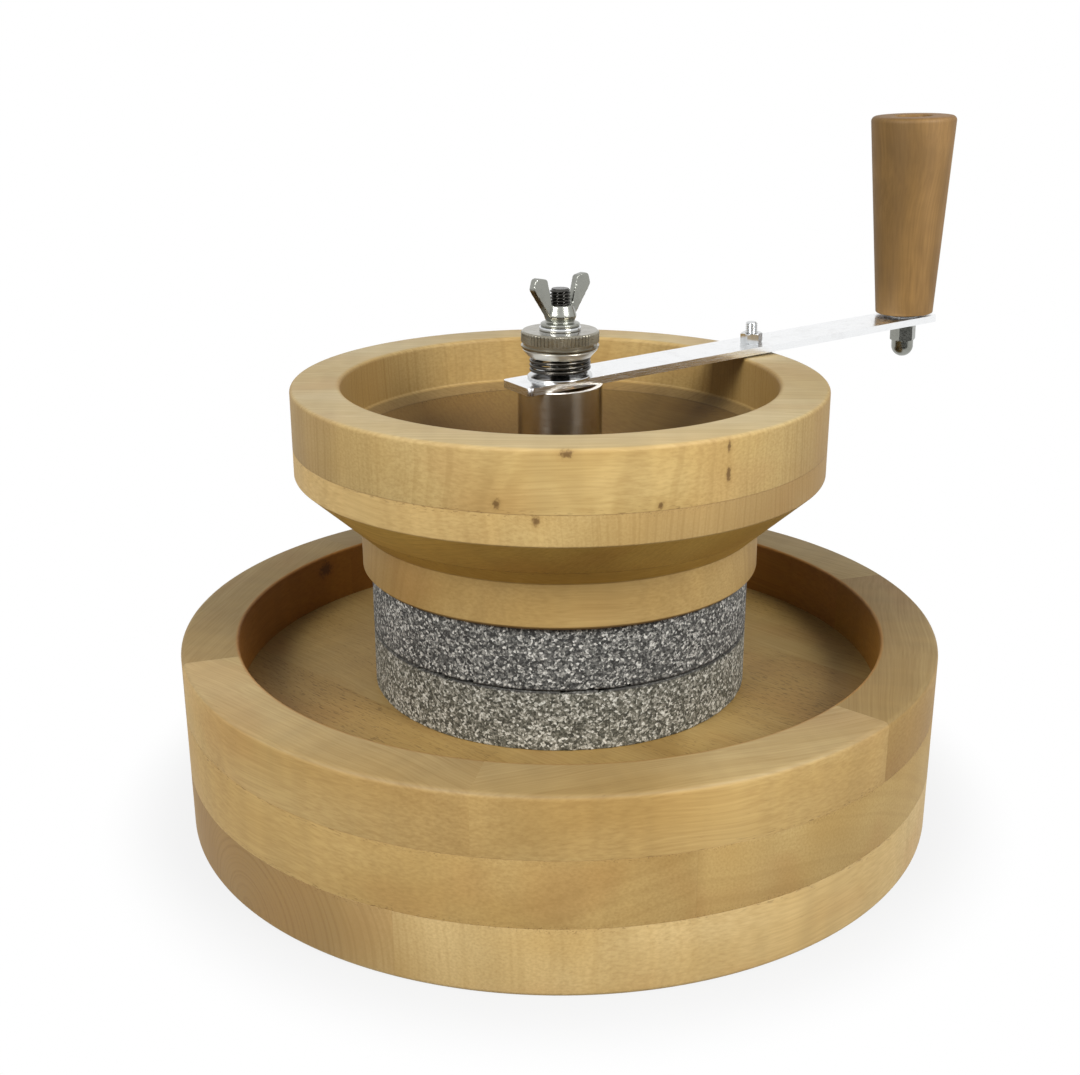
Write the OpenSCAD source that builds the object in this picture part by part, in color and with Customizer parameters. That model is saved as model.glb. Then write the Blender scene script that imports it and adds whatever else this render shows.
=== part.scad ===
// Hand-cranked stone grain mill: a wooden tray with a fixed bed stone, and a runner stone that turns
// on a spindle together with its hopper, crank arm and handle.
// Millimetres. The origin is on the table under the spindle, +Z is up and +X points along the crank arm.

/* [Tray] */
// Outside radius of the round tray
tray_r = 150; // [125:1:200]
// Thickness of the bottom board
bottom_board_t = 26; // [15:0.5:40]
// Thickness of the floor board
floor_board_t = 25; // [18:0.5:40]
// Height of the segmented rim above the floor board
tray_rim_h = 23; // [12:0.5:45]
// Radial width of the segmented rim
tray_rim_w = 22; // [12:0.5:35]
// Number of glued segments in the rim
tray_segments = 6; // [4:1:12]
// Direction of the first joint between two segments, in degrees from the crank arm
tray_joint_a = -13.5; // [-180:0.5:180]
// Rounding of the tray's outer edges
tray_edge_r = 2; // [0.5:0.1:5]

/* [Stones] */
// Radius of both stones
stone_r = 75; // [60:0.5:90]
// Thickness of the bed stone
bed_t = 23.5; // [16:0.5:40]
// Thickness of the runner stone
runner_t = 24.5; // [16:0.5:40]
// Gap between the grinding faces
grind_gap = 0.4; // [0.3:0.05:1]
// Radius of the feed eye through the runner stone
eye_r = 34; // [28:0.5:42]
// Number of harps, each with a long and a short furrow, on each grinding face
harps = 8; // [5:1:10]
// Width of a furrow at the grinding face
furrow_w = 5; // [3:0.25:7]
// Depth of a furrow at its steep side
furrow_d = 1.2; // [0.6:0.1:2.5]
// Distance from the spindle axis to the line of a long furrow
furrow_draft = 16; // [8:0.5:24]
// Distance between a long furrow and its short neighbour
furrow_pitch = 13; // [9:0.5:16]

/* [Hopper] */
// Outside radius of the hopper wall
hopper_r = 103; // [92:0.5:120]
// Radial width of the hopper's rim
hopper_rim_w = 19; // [14:0.5:26]
// Height of the neck ring
neck_h = 24.5; // [16:0.5:40]
// Height of the funnel ring
funnel_h = 26.3; // [18:0.1:40]
// Height of the rim ring
rim_h = 22.3; // [18:0.1:40]
// Overhang of the neck beyond the stone
neck_over = 3.3; // [1:0.1:6]
// Chamfer around the foot of the neck
neck_chamfer = 1.4; // [0.6:0.1:3]
// Height of the neck's straight band
neck_band_h = 17.5; // [8:0.5:26]
// Height of the cone above the straight band
cone_h = 22.4; // [12:0.1:30]
// Depth of the straight wall inside the rim
well_d = 18.6; // [10:0.1:26]
// Height of the straight feed throat at the bottom of the funnel
throat_h = 14.5; // [8:0.5:24]
// Step between the feed eye and the wider throat above it
throat_step = 2; // [0.5:0.25:5]
// Rounding of the hopper's rim
hopper_edge_r = 1.6; // [0.5:0.1:4]

/* [Spindle and bearing] */
// Radius of the journal that the bushes run on
journal_r = 6; // [5:0.1:9]
// Radius of the spindle's threaded ends
thread_r = 4; // [3:0.1:4.8]
// Length of thread that stands above the wing nut's boss
thread_proud = 6; // [2:0.5:12]
// Outside radius of the drive tube
tube_r = 16.5; // [13.5:0.25:19]
// Wall of the drive tube
tube_wall = 2; // [1:0.25:3]
// Height of the tube's lower end above the bed stone
tube_lift = 4; // [2:0.5:10]
// Length of each bush
bush_len = 22; // [10:0.5:35]
// Set-back of the upper bush from the end of the tube
bush_setback = 1; // [0.5:0.25:3]
// Thickness of the rynd
rynd_t = 4; // [2.5:0.25:7]
// Width of the rynd's arms
rynd_arm_w = 10; // [8:0.5:14]
// Width of the rynd's ring round the tube
rynd_ring_w = 5; // [3:0.25:8]
// Length of each rynd arm that lies in the stone
rynd_bearing = 16; // [10:0.5:22]
// Radius of a rynd screw's shank
rynd_screw_r = 2; // [1.5:0.1:2.5]
// Height of a rynd screw's countersunk head
rynd_head_h = 1.8; // [1:0.1:2.2]
// Length of a rynd screw
rynd_screw_len = 14; // [8:0.5:15]
// Radius of the bed clamp washer
clamp_washer_r = 15; // [11:0.5:20]
// Thickness of the bed clamp washer
clamp_washer_t = 2.5; // [1.5:0.25:4]
// Radius of the foot washer
foot_washer_r = 12; // [10:0.5:16]
// Thickness of the foot washer
foot_washer_t = 2; // [1:0.25:3]
// Width across flats of the foot nut
foot_nut_af = 13; // [11:0.5:17]
// Height of the foot nut
foot_nut_h = 6.5; // [4:0.25:8]

/* [Crank] */
// Width of the flat bar
arm_w = 20; // [16:0.5:28]
// Thickness of the flat bar
arm_t = 3; // [2:0.1:5]
// Distance from the spindle axis to the handle
crank_r = 183; // [150:1:230]
// Length of bar beyond the handle
arm_nose = 11; // [8:0.5:24]
// Length of bar behind the spindle
arm_tail = 20; // [15:0.5:30]
// Angle that the bar rises towards the handle, in degrees
arm_rise = 2.06; // [1:0.02:5]
// Corner rounding of the bar's ends
arm_corner_r = 2; // [1:0.25:7]
// Distance from the hopper's outside to the arm stud
stud_inset = 8; // [6.5:0.25:12]
// Radius of the arm stud
stud_r = 2.5; // [1.5:0.1:3]
// Depth of the arm stud in the rim
stud_depth = 16; // [10:0.5:17]
// Length of stud above the arm
stud_proud = 8.5; // [6:0.5:16]
// Width across flats of the stud's nut
stud_nut_af = 8; // [7:0.25:10]
// Height of the stud's nut
stud_nut_h = 4; // [3:0.25:6]
// Radius of the washer under the arm
stud_washer_r = 5; // [4:0.25:6]
// Thickness of the washer under the arm
stud_washer_t = 1; // [0.8:0.1:2]

/* [Handle] */
// Length of the grip
grip_len = 84.5; // [70:0.5:120]
// Radius of the grip's upper end
grip_top_r = 18.1; // [15:0.1:24]
// Radius of the grip's lower end
grip_foot_r = 12.5; // [10:0.25:15]
// Rounding of the grip's upper edge
grip_edge_r = 2; // [1:0.25:6]
// Rounding of the grip's lower edge
grip_foot_edge_r = 1; // [0.5:0.25:3]
// End play of the grip between its washers
grip_play = 0.2; // [0.1:0.05:0.6]
// Depth of the bolt head's counterbore in the grip
counterbore_d = 10; // [8:0.5:20]
// Radius of the bolt head's counterbore
counterbore_r = 8; // [7:0.25:10]
// Radius of the handle bolt
handle_bolt_r = 3; // [2:0.1:3.4]
// Width across flats of the bolt's head and cap nut
handle_af = 10; // [9:0.25:12]
// Height of the bolt's head
handle_head_h = 4; // [3:0.25:6]
// Outside radius of the sleeve that the grip turns on
sleeve_r = 4.75; // [4.5:0.05:5.5]
// Radius of the handle's washers
handle_washer_r = 6.5; // [5.5:0.25:6.75]
// Thickness of the handle's washers
handle_washer_t = 1.2; // [0.8:0.1:2.5]
// Height of the cap nut's six-sided part
cap_hex_h = 7; // [4:0.25:9]
// Step from the cap nut's flats in to its dome
cap_dome_step = 0.2; // [0:0.05:0.8]
// Whole height of the cap nut
cap_nut_h = 14.5; // [12:0.25:18]
// Thickness of the cap nut's closed end
cap_floor_t = 3; // [2:0.25:4]

/* [Adjuster] */
// Radius of the thrust washer on the arm
thrust_washer_r = 12.5; // [12:0.25:16]
// Thickness of the thrust washer
thrust_washer_t = 1; // [0.8:0.1:2.5]
// Outside radius of the pressure spring
spring_r = 11.85; // [9:0.05:11.9]
// Wire diameter of the pressure spring
spring_wire = 1.5; // [1:0.05:1.6]
// Height of the pressure spring
spring_h = 6.6; // [6.4:0.1:12]
// Turns of the pressure spring
spring_turns = 3; // [2:0.25:3.25]
// Radius of the spring cup where it meets the spring
cup_foot_r = 12; // [11.9:0.1:14]
// Radius of the spring cup where it meets the knurled nut
cup_top_r = 14.6; // [14.2:0.1:15]
// Height of the spring cup
cup_h = 2.9; // [2:0.1:5]
// Outside radius of the knurled nut
nut_r = 15; // [14:0.25:18]
// Height of the knurled nut
nut_h = 7.1; // [5:0.1:10]
// Number of ribs in the nut's knurling
nut_ribs = 60; // [36:1:80]
// Depth of the nut's knurling
nut_knurl_d = 0.45; // [0.2:0.05:0.8]
// Width of the plain collar below the knurling
nut_collar_h = 1.4; // [0.8:0.1:2.5]
// Depth of the groove between the collar and the knurling
nut_groove_d = 0.8; // [0.5:0.1:1.5]
// Bevel of the nut's edges
nut_bevel = 0.8; // [0.3:0.1:1]
// Radius of the lock washer
lock_washer_r = 8; // [7.7:0.1:10]
// Thickness of the lock washer
lock_washer_t = 1.4; // [0.8:0.1:2.5]
// Radius of the wing nut's foot
wing_foot_r = 7.5; // [6.5:0.1:8]
// Radius of the wing nut's boss at its top
wing_boss_r = 5.6; // [5.3:0.1:6.4]
// Height of the wing nut's boss
wing_boss_h = 8.4; // [7:0.1:12]
// Distance between the tips of the two wings
wing_span = 29; // [26:0.5:38]
// Height of the wing tips above the wing nut's foot
wing_h = 19.5; // [16:0.5:24]
// Thickness of a wing
wing_t = 3; // [2:0.1:4]
// Rounding of a wing's tip
wing_tip_r = 3; // [1.5:0.1:4]
// Height of the wing nut's straight foot
wing_foot_h = 1.2; // [0.8:0.1:2]
// Height at which the wings leave the boss
wing_root_z = 2.6; // [2:0.1:4]
// Width of a wing across its top
wing_top_w = 7; // [4:0.1:9]
// Wall between the thread and the root of a wing
wing_root_wall = 0.6; // [0.3:0.1:1]
// Drop of a wing's inner shoulder below its tip
wing_top_drop = 0.9; // [0.5:0.1:2]
// Flare of the boss above the wing nut's foot
wing_flare = 0.7; // [0.3:0.1:1]
// Bevel of the boss's upper edge
wing_bevel = 0.8; // [0.3:0.1:1.2]
// Direction of the wings, in degrees from the crank arm
wing_a = 10; // [-90:1:90]

/* [Fits] */
// Radial clearance of a piece that turns on a shaft or thread
run_fit = 0.05; // [0.02:0.01:0.1]
// Radial clearance of a piece that is pushed or glued in place
seat_fit = 0.05; // [0.02:0.01:0.1]
// Radial clearance of a bolt in its hole
bolt_fit = 0.3; // [0.2:0.05:0.6]
// Clearance between the still spring and the turning washer below it
spring_fit = 0.1; // [0.05:0.05:0.4]
// Radial clearance of the spindle in the turning arm and its washer
arm_fit = 0.5; // [0.3:0.05:1]
// Room around the foot washer and below the foot nut in their pocket
foot_spare = 1.5; // [1:0.25:3]
// Gap between the end of the handle bolt and the closed end of its cap nut
bolt_end_gap = 1; // [0.5:0.25:2]

/* [Hidden] */
$fn = 96;
// Cutters pass the faces that they cut by this much
cut = 1;

// Heights of the stack
floor_z = bottom_board_t + floor_board_t;
tray_top_z = floor_z + tray_rim_h;
bed_top_z = floor_z + bed_t;
runner_z = bed_top_z + grind_gap;
hopper_z = runner_z + runner_t;
funnel_z = hopper_z + neck_h;
rim_z = funnel_z + funnel_h;
hopper_top_z = rim_z + rim_h;

// Tray
tray_in_r = tray_r - tray_rim_w;
segment_a = 360 / tray_segments;
foot_pocket_r = max(foot_washer_r, foot_nut_af / 2 / cos(30)) + foot_spare;
foot_pocket_d = foot_washer_t + foot_nut_h + foot_spare;
foot_washer_z = bottom_board_t + foot_pocket_d - foot_washer_t;
foot_nut_z = foot_washer_z - foot_nut_h;
spindle_foot_z = foot_nut_z - foot_spare / 2;
bolt_hole_r = thread_r + bolt_fit;

// Hopper
neck_r = stone_r + neck_over;
hopper_in_r = hopper_r - hopper_rim_w;
throat_r = eye_r + throat_step;

// Rynd
rynd_z = hopper_z - rynd_t;
rynd_ring_r = tube_r + rynd_ring_w;
rynd_reach = eye_r + rynd_bearing;
rynd_screw_at = eye_r + rynd_bearing / 2;
rynd_head_r = rynd_screw_r + rynd_head_h;
rynd_arm_angles = [45, 135, 225, 315];

// Crank arm: a straight bar that rises from the tube over the hopper's rim, measured along its underside
stud_s = (hopper_r - stud_inset) / cos(arm_rise);
handle_s = crank_r / cos(arm_rise);
arm_z = hopper_top_z + stud_washer_t * cos(arm_rise) - (stud_s - stud_washer_r) * sin(arm_rise);
tube_z = bed_top_z + tube_lift;
tube_top_z = arm_z - tube_r * sin(arm_rise);
journal_top_z = tube_top_z - bush_setback / 2;

// Handle, measured from the underside of the bar at the handle
seat_washer_z = arm_t;
grip_z = seat_washer_z + handle_washer_t + grip_play;
counterbore_z = grip_z + grip_len - counterbore_d;
sleeve_z = seat_washer_z + handle_washer_t;
head_washer_z = counterbore_z + grip_play;
handle_head_z = head_washer_z + handle_washer_t;
cap_nut_z = -handle_washer_t - cap_nut_h;
cap_dome_r = handle_af / 2 - cap_dome_step;
handle_hole_r = handle_bolt_r + bolt_fit;

// Adjuster stack on the spindle
spring_z = arm_z + (arm_t + thrust_washer_t) * cos(arm_rise) + thrust_washer_r * sin(arm_rise) + spring_fit;
cup_z = spring_z + spring_h;
nut_z = cup_z + cup_h;
lock_z = nut_z + nut_h;
wing_z = lock_z + lock_washer_t;
spindle_top_z = wing_z + wing_boss_h + thread_proud;
thread_hole_r = thread_r + run_fit;

// Spring wire: a six-sided tube on a helix whose ends run level and straight for one wire diameter
spring_rings = 8;
wire_sides = 6;
wire_flat = spring_wire * cos(180 / wire_sides);
spring_mean_r = spring_r - spring_wire / 2;
spring_rise = spring_h - wire_flat;
spring_steps = ceil(spring_turns * spring_rings);
spring_turn_pitch = spring_rise / spring_turns;
function helix(i) = let (t = i / spring_steps, a = 360 * spring_turns * t)
    [spring_mean_r * cos(a), spring_mean_r * sin(a), wire_flat / 2 + spring_rise * t];
function wire_ring(p, a) = [for (k = [0 : wire_sides - 1])
    let (b = 360 / wire_sides * k, out = spring_wire / 2 * cos(b))
    [p.x + out * cos(a), p.y + out * sin(a), p.z + spring_wire / 2 * sin(b)]];
function straight_end(i, side) = let (p = helix(i), a = 360 * spring_turns * i / spring_steps)
    [p.x - side * spring_wire * sin(a), p.y + side * spring_wire * cos(a), p.z];
spring_angles = [for (i = [0 : spring_steps]) 360 * spring_turns * i / spring_steps];
spring_path = concat(
    [straight_end(0, -1)],
    [for (i = [0 : spring_steps]) helix(i)],
    [straight_end(spring_steps, 1)]);
spring_path_angles = concat([spring_angles[0]], spring_angles, [spring_angles[spring_steps]]);
spring_last = len(spring_path) - 1;
spring_wire_rings = [for (i = [0 : spring_last]) wire_ring(spring_path[i], spring_path_angles[i])];
// Least distance between points of the wire that lie most of a turn apart
spring_gap = min([for (i = [0 : spring_last]) for (j = [i + spring_rings - 2 : 1 : spring_last])
    for (p = spring_wire_rings[i]) min([for (q = spring_wire_rings[j]) norm(p - q)])]);
echo(spring_gap = spring_gap);

tray_rim_nodes = [for (i = [1 : tray_segments]) str("tray_rim_segment_", i)];

pale_wood = "burlywood";
dark_wood = "peru";
granite = "dimgray";
bright_steel = "silver";
dark_steel = "slategray";

// Flat washer on the Z axis
module washer(r, hole_r, t) {
    difference() {
        cylinder(r = r, h = t);
        translate([0, 0, -cut]) cylinder(r = hole_r, h = t + 2 * cut);
    }
}

// Six-sided prism on the Z axis
module hexagon(af, h) {
    cylinder(d = af / cos(30), h = h, $fn = 6);
}

// Cutter that rounds a profile's corner at the origin, whose material lies towards -X and -Y
module corner_round(r) {
    difference() {
        translate([-r, -r]) square(r + cut);
        translate([-r, -r]) circle(r);
    }
}

// Places its children on the underside of the rising bar, s from the spindle
module on_arm(s) {
    translate([0, 0, arm_z]) rotate([0, -arm_rise, 0]) translate([s, 0, 0]) children();
}

// Section of one layer of the tray between two radii, with a rounded outer edge above or below
module tray_layer(in_r, h, round_top, round_foot) {
    difference() {
        translate([in_r, 0]) square([tray_r - in_r, h]);
        if (round_top) translate([tray_r, h]) corner_round(tray_edge_r);
        if (round_foot) translate([tray_r, 0]) mirror([0, 1]) corner_round(tray_edge_r);
    }
}

module tray_bottom_board() {
    color(pale_wood) rotate_extrude() tray_layer(0, bottom_board_t, false, true);
}

module tray_floor_board() {
    color(dark_wood) translate([0, 0, bottom_board_t]) difference() {
        cylinder(r = tray_r, h = floor_board_t);
        translate([0, 0, -cut]) cylinder(r = foot_pocket_r, h = foot_pocket_d + cut);
        cylinder(r = bolt_hole_r, h = floor_board_t + cut);
    }
}

module tray_rim_segment(i) {
    color(pale_wood) translate([0, 0, floor_z]) rotate([0, 0, tray_joint_a + segment_a * (i - 1)])
        rotate_extrude(angle = segment_a) difference() {
            tray_layer(tray_in_r, tray_rim_h, true, false);
            translate([tray_in_r, tray_rim_h]) mirror([1, 0]) corner_round(tray_edge_r / 2);
        }
}

// One furrow along +X from the radius start, steep on one side and sloping to nothing on the other
module furrow(offset_y, start) {
    translate([start, offset_y, 0]) rotate([90, 0, 90]) linear_extrude(2 * stone_r)
        polygon([[0, -furrow_d], [furrow_w, 0], [furrow_w, cut], [0, cut]]);
}

// Furrow pattern that is cut into an upward grinding face at z = 0
module dressing() {
    long_start = sqrt(pow(eye_r, 2) - pow(furrow_draft, 2));
    for (k = [0 : harps - 1]) rotate([0, 0, 360 / harps * k]) {
        furrow(furrow_draft, long_start);
        furrow(furrow_draft + furrow_pitch, long_start + furrow_pitch);
    }
}

module bed_stone() {
    color(granite) translate([0, 0, floor_z]) difference() {
        cylinder(r = stone_r, h = bed_t);
        translate([0, 0, -cut]) cylinder(r = bolt_hole_r, h = bed_t + 2 * cut);
        translate([0, 0, bed_t - clamp_washer_t])
            cylinder(r = clamp_washer_r + bolt_fit, h = clamp_washer_t + cut);
        translate([0, 0, bed_t]) dressing();
    }
}

module spindle() {
    color(bright_steel) {
        translate([0, 0, spindle_foot_z]) cylinder(r = thread_r, h = spindle_top_z - spindle_foot_z);
        translate([0, 0, bed_top_z]) cylinder(r = journal_r, h = journal_top_z - bed_top_z);
    }
}

module bed_clamp_washer() {
    color(bright_steel) translate([0, 0, bed_top_z - clamp_washer_t])
        washer(clamp_washer_r, bolt_hole_r, clamp_washer_t);
}

module foot_washer() {
    color(bright_steel) translate([0, 0, foot_washer_z]) washer(foot_washer_r, bolt_hole_r, foot_washer_t);
}

module foot_nut() {
    color(bright_steel) translate([0, 0, foot_nut_z]) difference() {
        hexagon(foot_nut_af, foot_nut_h);
        translate([0, 0, -cut]) cylinder(r = thread_hole_r, h = foot_nut_h + 2 * cut);
    }
}

module thrust_washer() {
    color(bright_steel) on_arm(0) translate([0, 0, arm_t])
        washer(thrust_washer_r, thread_r + arm_fit, thrust_washer_t);
}

module pressure_spring() {
    last_ring = spring_last * wire_sides;
    points = [for (ring = spring_wire_rings) for (p = ring) p];
    sides = [for (i = [0 : spring_last - 1]) for (k = [0 : wire_sides - 1])
        let (a = i * wire_sides + k, b = i * wire_sides + (k + 1) % wire_sides)
        for (f = [[a, b, b + wire_sides], [a, b + wire_sides, a + wire_sides]]) f];
    first_cap = [for (k = [1 : wire_sides - 2]) [0, k + 1, k]];
    last_cap = [for (k = [1 : wire_sides - 2]) [last_ring, last_ring + k, last_ring + k + 1]];
    color(dark_steel) translate([0, 0, spring_z]) polyhedron(points, concat(sides, first_cap, last_cap));
}

module runner_stone() {
    color(granite) difference() {
        translate([0, 0, runner_z]) cylinder(r = stone_r, h = runner_t);
        translate([0, 0, runner_z - cut]) cylinder(r = eye_r, h = runner_t + 2 * cut);
        translate([0, 0, runner_z]) rotate([180, 0, 0]) dressing();
        for (a = rynd_arm_angles) rotate([0, 0, a]) {
            translate([0, -rynd_arm_w / 2 - seat_fit, rynd_z])
                cube([rynd_reach + seat_fit, rynd_arm_w + 2 * seat_fit, rynd_t + cut]);
            translate([rynd_screw_at, 0, hopper_z]) rynd_screw(seat_fit, cut);
        }
    }
}

module rynd() {
    root = tube_r + rynd_ring_w / 2;
    color(dark_steel) translate([0, 0, rynd_z]) difference() {
        union() {
            washer(rynd_ring_r, tube_r + seat_fit, rynd_t);
            for (a = rynd_arm_angles) rotate([0, 0, a])
                translate([root, -rynd_arm_w / 2, 0]) cube([rynd_reach - root, rynd_arm_w, rynd_t]);
        }
        for (a = rynd_arm_angles) rotate([0, 0, a])
            translate([rynd_screw_at, 0, rynd_t]) rynd_screw(seat_fit, cut);
    }
}

// Countersunk screw below z = 0, grown all round by a clearance, whose cone can run on above the head
module rynd_screw(spare, above) {
    rotate_extrude() polygon([
        [0, -rynd_screw_len],
        [rynd_screw_r + spare, -rynd_screw_len],
        [rynd_screw_r + spare, -rynd_head_h],
        [rynd_head_r + spare + above, above],
        [0, above]]);
}

module rynd_screws() {
    color(bright_steel) for (a = rynd_arm_angles) rotate([0, 0, a]) translate([rynd_screw_at, 0, hopper_z])
        rynd_screw(0, 0);
}

// The tube's upper end is cut to the rise of the bar that lies on it
module drive_tube() {
    color(bright_steel) difference() {
        translate([0, 0, tube_z]) washer(tube_r, tube_r - tube_wall, arm_z + tube_r - tube_z);
        on_arm(0) translate([-2 * tube_r, -2 * tube_r, 0]) cube(4 * tube_r);
    }
}

// Plain bush between the drive tube and the spindle's journal
module bush(z) {
    color("darkgoldenrod") translate([0, 0, z])
        washer(tube_r - tube_wall - seat_fit, journal_r + run_fit, bush_len);
}

module lower_bush() {
    bush(tube_z);
}

module upper_bush() {
    bush(tube_top_z - bush_setback - bush_len);
}

// Section through the glued hopper: neck, cone and wall outside, well, funnel and throat inside
module hopper_section() {
    difference() {
        polygon([
            [neck_r - neck_chamfer, hopper_z],
            [neck_r, hopper_z + neck_chamfer],
            [neck_r, hopper_z + neck_band_h],
            [hopper_r, hopper_z + neck_band_h + cone_h],
            [hopper_r, hopper_top_z],
            [hopper_in_r, hopper_top_z],
            [hopper_in_r, hopper_top_z - well_d],
            [throat_r, hopper_z + throat_h],
            [throat_r, hopper_z]]);
        translate([hopper_r, hopper_top_z]) corner_round(hopper_edge_r);
        translate([hopper_in_r, hopper_top_z]) mirror([1, 0]) corner_round(hopper_edge_r);
    }
}

// The part of the hopper between two heights
module hopper_layer(z, h) {
    rotate_extrude() intersection() {
        hopper_section();
        translate([0, z]) square([hopper_r + cut, h]);
    }
}

module hopper_neck_ring() {
    color(dark_wood) hopper_layer(hopper_z, neck_h);
}

module hopper_funnel_ring() {
    color(pale_wood) hopper_layer(funnel_z, funnel_h);
}

// Hole for the arm stud, square to the rising bar
module stud_hole() {
    on_arm(stud_s) translate([0, 0, -stud_washer_t - stud_depth])
        cylinder(r = stud_r + seat_fit, h = stud_depth + stud_washer_t + cut);
}

module hopper_rim_ring() {
    color(pale_wood) difference() {
        hopper_layer(rim_z, rim_h);
        stud_hole();
    }
}

// Plan of the bar with rounded corners
module arm_plan() {
    length = arm_tail + handle_s + arm_nose;
    translate([-arm_tail, -arm_w / 2]) difference() {
        square([length, arm_w]);
        translate([length, arm_w]) corner_round(arm_corner_r);
        translate([length, 0]) mirror([0, 1]) corner_round(arm_corner_r);
        translate([0, arm_w]) mirror([1, 0]) corner_round(arm_corner_r);
        mirror([1, 0]) mirror([0, 1]) corner_round(arm_corner_r);
    }
}

module crank_arm() {
    color(bright_steel) difference() {
        on_arm(0) linear_extrude(arm_t) arm_plan();
        translate([0, 0, arm_z - cut]) cylinder(r = thread_r + arm_fit, h = arm_t + 2 * cut);
        on_arm(stud_s) translate([0, 0, -cut]) cylinder(r = stud_r + bolt_fit, h = arm_t + 2 * cut);
        on_arm(handle_s) translate([0, 0, -cut]) cylinder(r = handle_hole_r, h = arm_t + 2 * cut);
    }
}

module arm_stud() {
    color(bright_steel) on_arm(stud_s) translate([0, 0, -stud_washer_t - stud_depth])
        cylinder(r = stud_r, h = stud_depth + stud_washer_t + arm_t + stud_proud);
}

module arm_stud_washer() {
    color(bright_steel) on_arm(stud_s) translate([0, 0, -stud_washer_t])
        washer(stud_washer_r, stud_r + bolt_fit, stud_washer_t);
}

module arm_stud_nut() {
    color(bright_steel) on_arm(stud_s) translate([0, 0, arm_t]) difference() {
        hexagon(stud_nut_af, stud_nut_h);
        translate([0, 0, -cut]) cylinder(r = stud_r + seat_fit, h = stud_nut_h + 2 * cut);
    }
}

module handle_bolt() {
    bolt_end_z = cap_nut_z + cap_floor_t + bolt_end_gap;
    color(bright_steel) on_arm(handle_s) {
        translate([0, 0, bolt_end_z]) cylinder(r = handle_bolt_r, h = handle_head_z - bolt_end_z);
        translate([0, 0, handle_head_z]) hexagon(handle_af, handle_head_h);
    }
}

module handle_sleeve() {
    color(bright_steel) on_arm(handle_s) translate([0, 0, sleeve_z])
        washer(sleeve_r, handle_bolt_r + bolt_fit, head_washer_z - sleeve_z);
}

module handle_head_washer() {
    color(bright_steel) on_arm(handle_s) translate([0, 0, head_washer_z])
        washer(handle_washer_r, handle_hole_r, handle_washer_t);
}

module handle_seat_washer() {
    color(bright_steel) on_arm(handle_s) translate([0, 0, seat_washer_z])
        washer(handle_washer_r, handle_hole_r, handle_washer_t);
}

module handle_nut_washer() {
    color(bright_steel) on_arm(handle_s) translate([0, 0, -handle_washer_t])
        washer(handle_washer_r, handle_hole_r, handle_washer_t);
}

module handle_cap_nut() {
    color(bright_steel) on_arm(handle_s) translate([0, 0, cap_nut_z]) difference() {
        union() {
            translate([0, 0, cap_nut_h - cap_hex_h]) hexagon(handle_af, cap_hex_h);
            translate([0, 0, cap_dome_r]) cylinder(r = cap_dome_r, h = cap_nut_h - cap_dome_r);
            translate([0, 0, cap_dome_r]) sphere(cap_dome_r);
        }
        translate([0, 0, cap_floor_t]) cylinder(r = handle_bolt_r + seat_fit, h = cap_nut_h);
    }
}

// Section of the turned grip with rounded edges
module grip_section() {
    taper = atan((grip_top_r - grip_foot_r) / grip_len);
    difference() {
        polygon([[0, 0], [grip_foot_r, 0], [grip_top_r, grip_len], [0, grip_len]]);
        translate([grip_top_r, grip_len]) corner_round(grip_edge_r);
        translate([grip_foot_r, 0]) rotate(-taper) mirror([0, 1]) corner_round(grip_foot_edge_r);
    }
}

module grip() {
    color(dark_wood) on_arm(handle_s) translate([0, 0, grip_z]) difference() {
        rotate_extrude() grip_section();
        translate([0, 0, -cut]) cylinder(r = sleeve_r + run_fit, h = grip_len + 2 * cut);
        translate([0, 0, grip_len - counterbore_d]) cylinder(r = counterbore_r, h = counterbore_d + cut);
    }
}

module spring_cup() {
    color(bright_steel) translate([0, 0, cup_z]) difference() {
        cylinder(r1 = cup_foot_r, r2 = cup_top_r, h = cup_h);
        translate([0, 0, -cut]) cylinder(r = bolt_hole_r, h = cup_h + 2 * cut);
    }
}

// Outline of the knurled rim: a ring of straight ribs
module knurl() {
    polygon([for (k = [0 : 2 * nut_ribs - 1])
        let (a = 180 / nut_ribs * k, r = nut_r - nut_knurl_d * (k % 2))
        [r * cos(a), r * sin(a)]]);
}

module knurled_nut() {
    color(bright_steel) translate([0, 0, nut_z]) difference() {
        union() {
            cylinder(r = nut_r - nut_groove_d, h = nut_h);
            cylinder(r1 = nut_r - nut_bevel, r2 = nut_r, h = nut_collar_h / 2);
            translate([0, 0, nut_collar_h / 2]) cylinder(r = nut_r, h = nut_collar_h / 2);
            translate([0, 0, 2 * nut_collar_h]) intersection() {
                linear_extrude(nut_h - 2 * nut_collar_h) knurl();
                cylinder(r1 = nut_r + nut_h - 2 * nut_collar_h - nut_bevel, r2 = nut_r - nut_bevel,
                    h = nut_h - 2 * nut_collar_h);
            }
        }
        translate([0, 0, -cut]) cylinder(r = thread_hole_r, h = nut_h + 2 * cut);
    }
}

module lock_washer() {
    color(bright_steel) translate([0, 0, lock_z]) washer(lock_washer_r, bolt_hole_r, lock_washer_t);
}

// One wing in its own plane: a blade that leans out from the boss to a rounded tip
module wing_blade() {
    tip_x = wing_span / 2 - wing_tip_r;
    tip_z = wing_h - wing_tip_r;
    root_x = thread_hole_r + wing_root_wall;
    translate([tip_x, tip_z]) circle(wing_tip_r);
    polygon([
        [root_x, wing_root_z],
        [wing_boss_r, wing_root_z],
        [wing_span / 2, tip_z],
        [tip_x, wing_h],
        [wing_span / 2 - wing_top_w, wing_h - wing_top_drop],
        [root_x, wing_boss_h]]);
}

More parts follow.
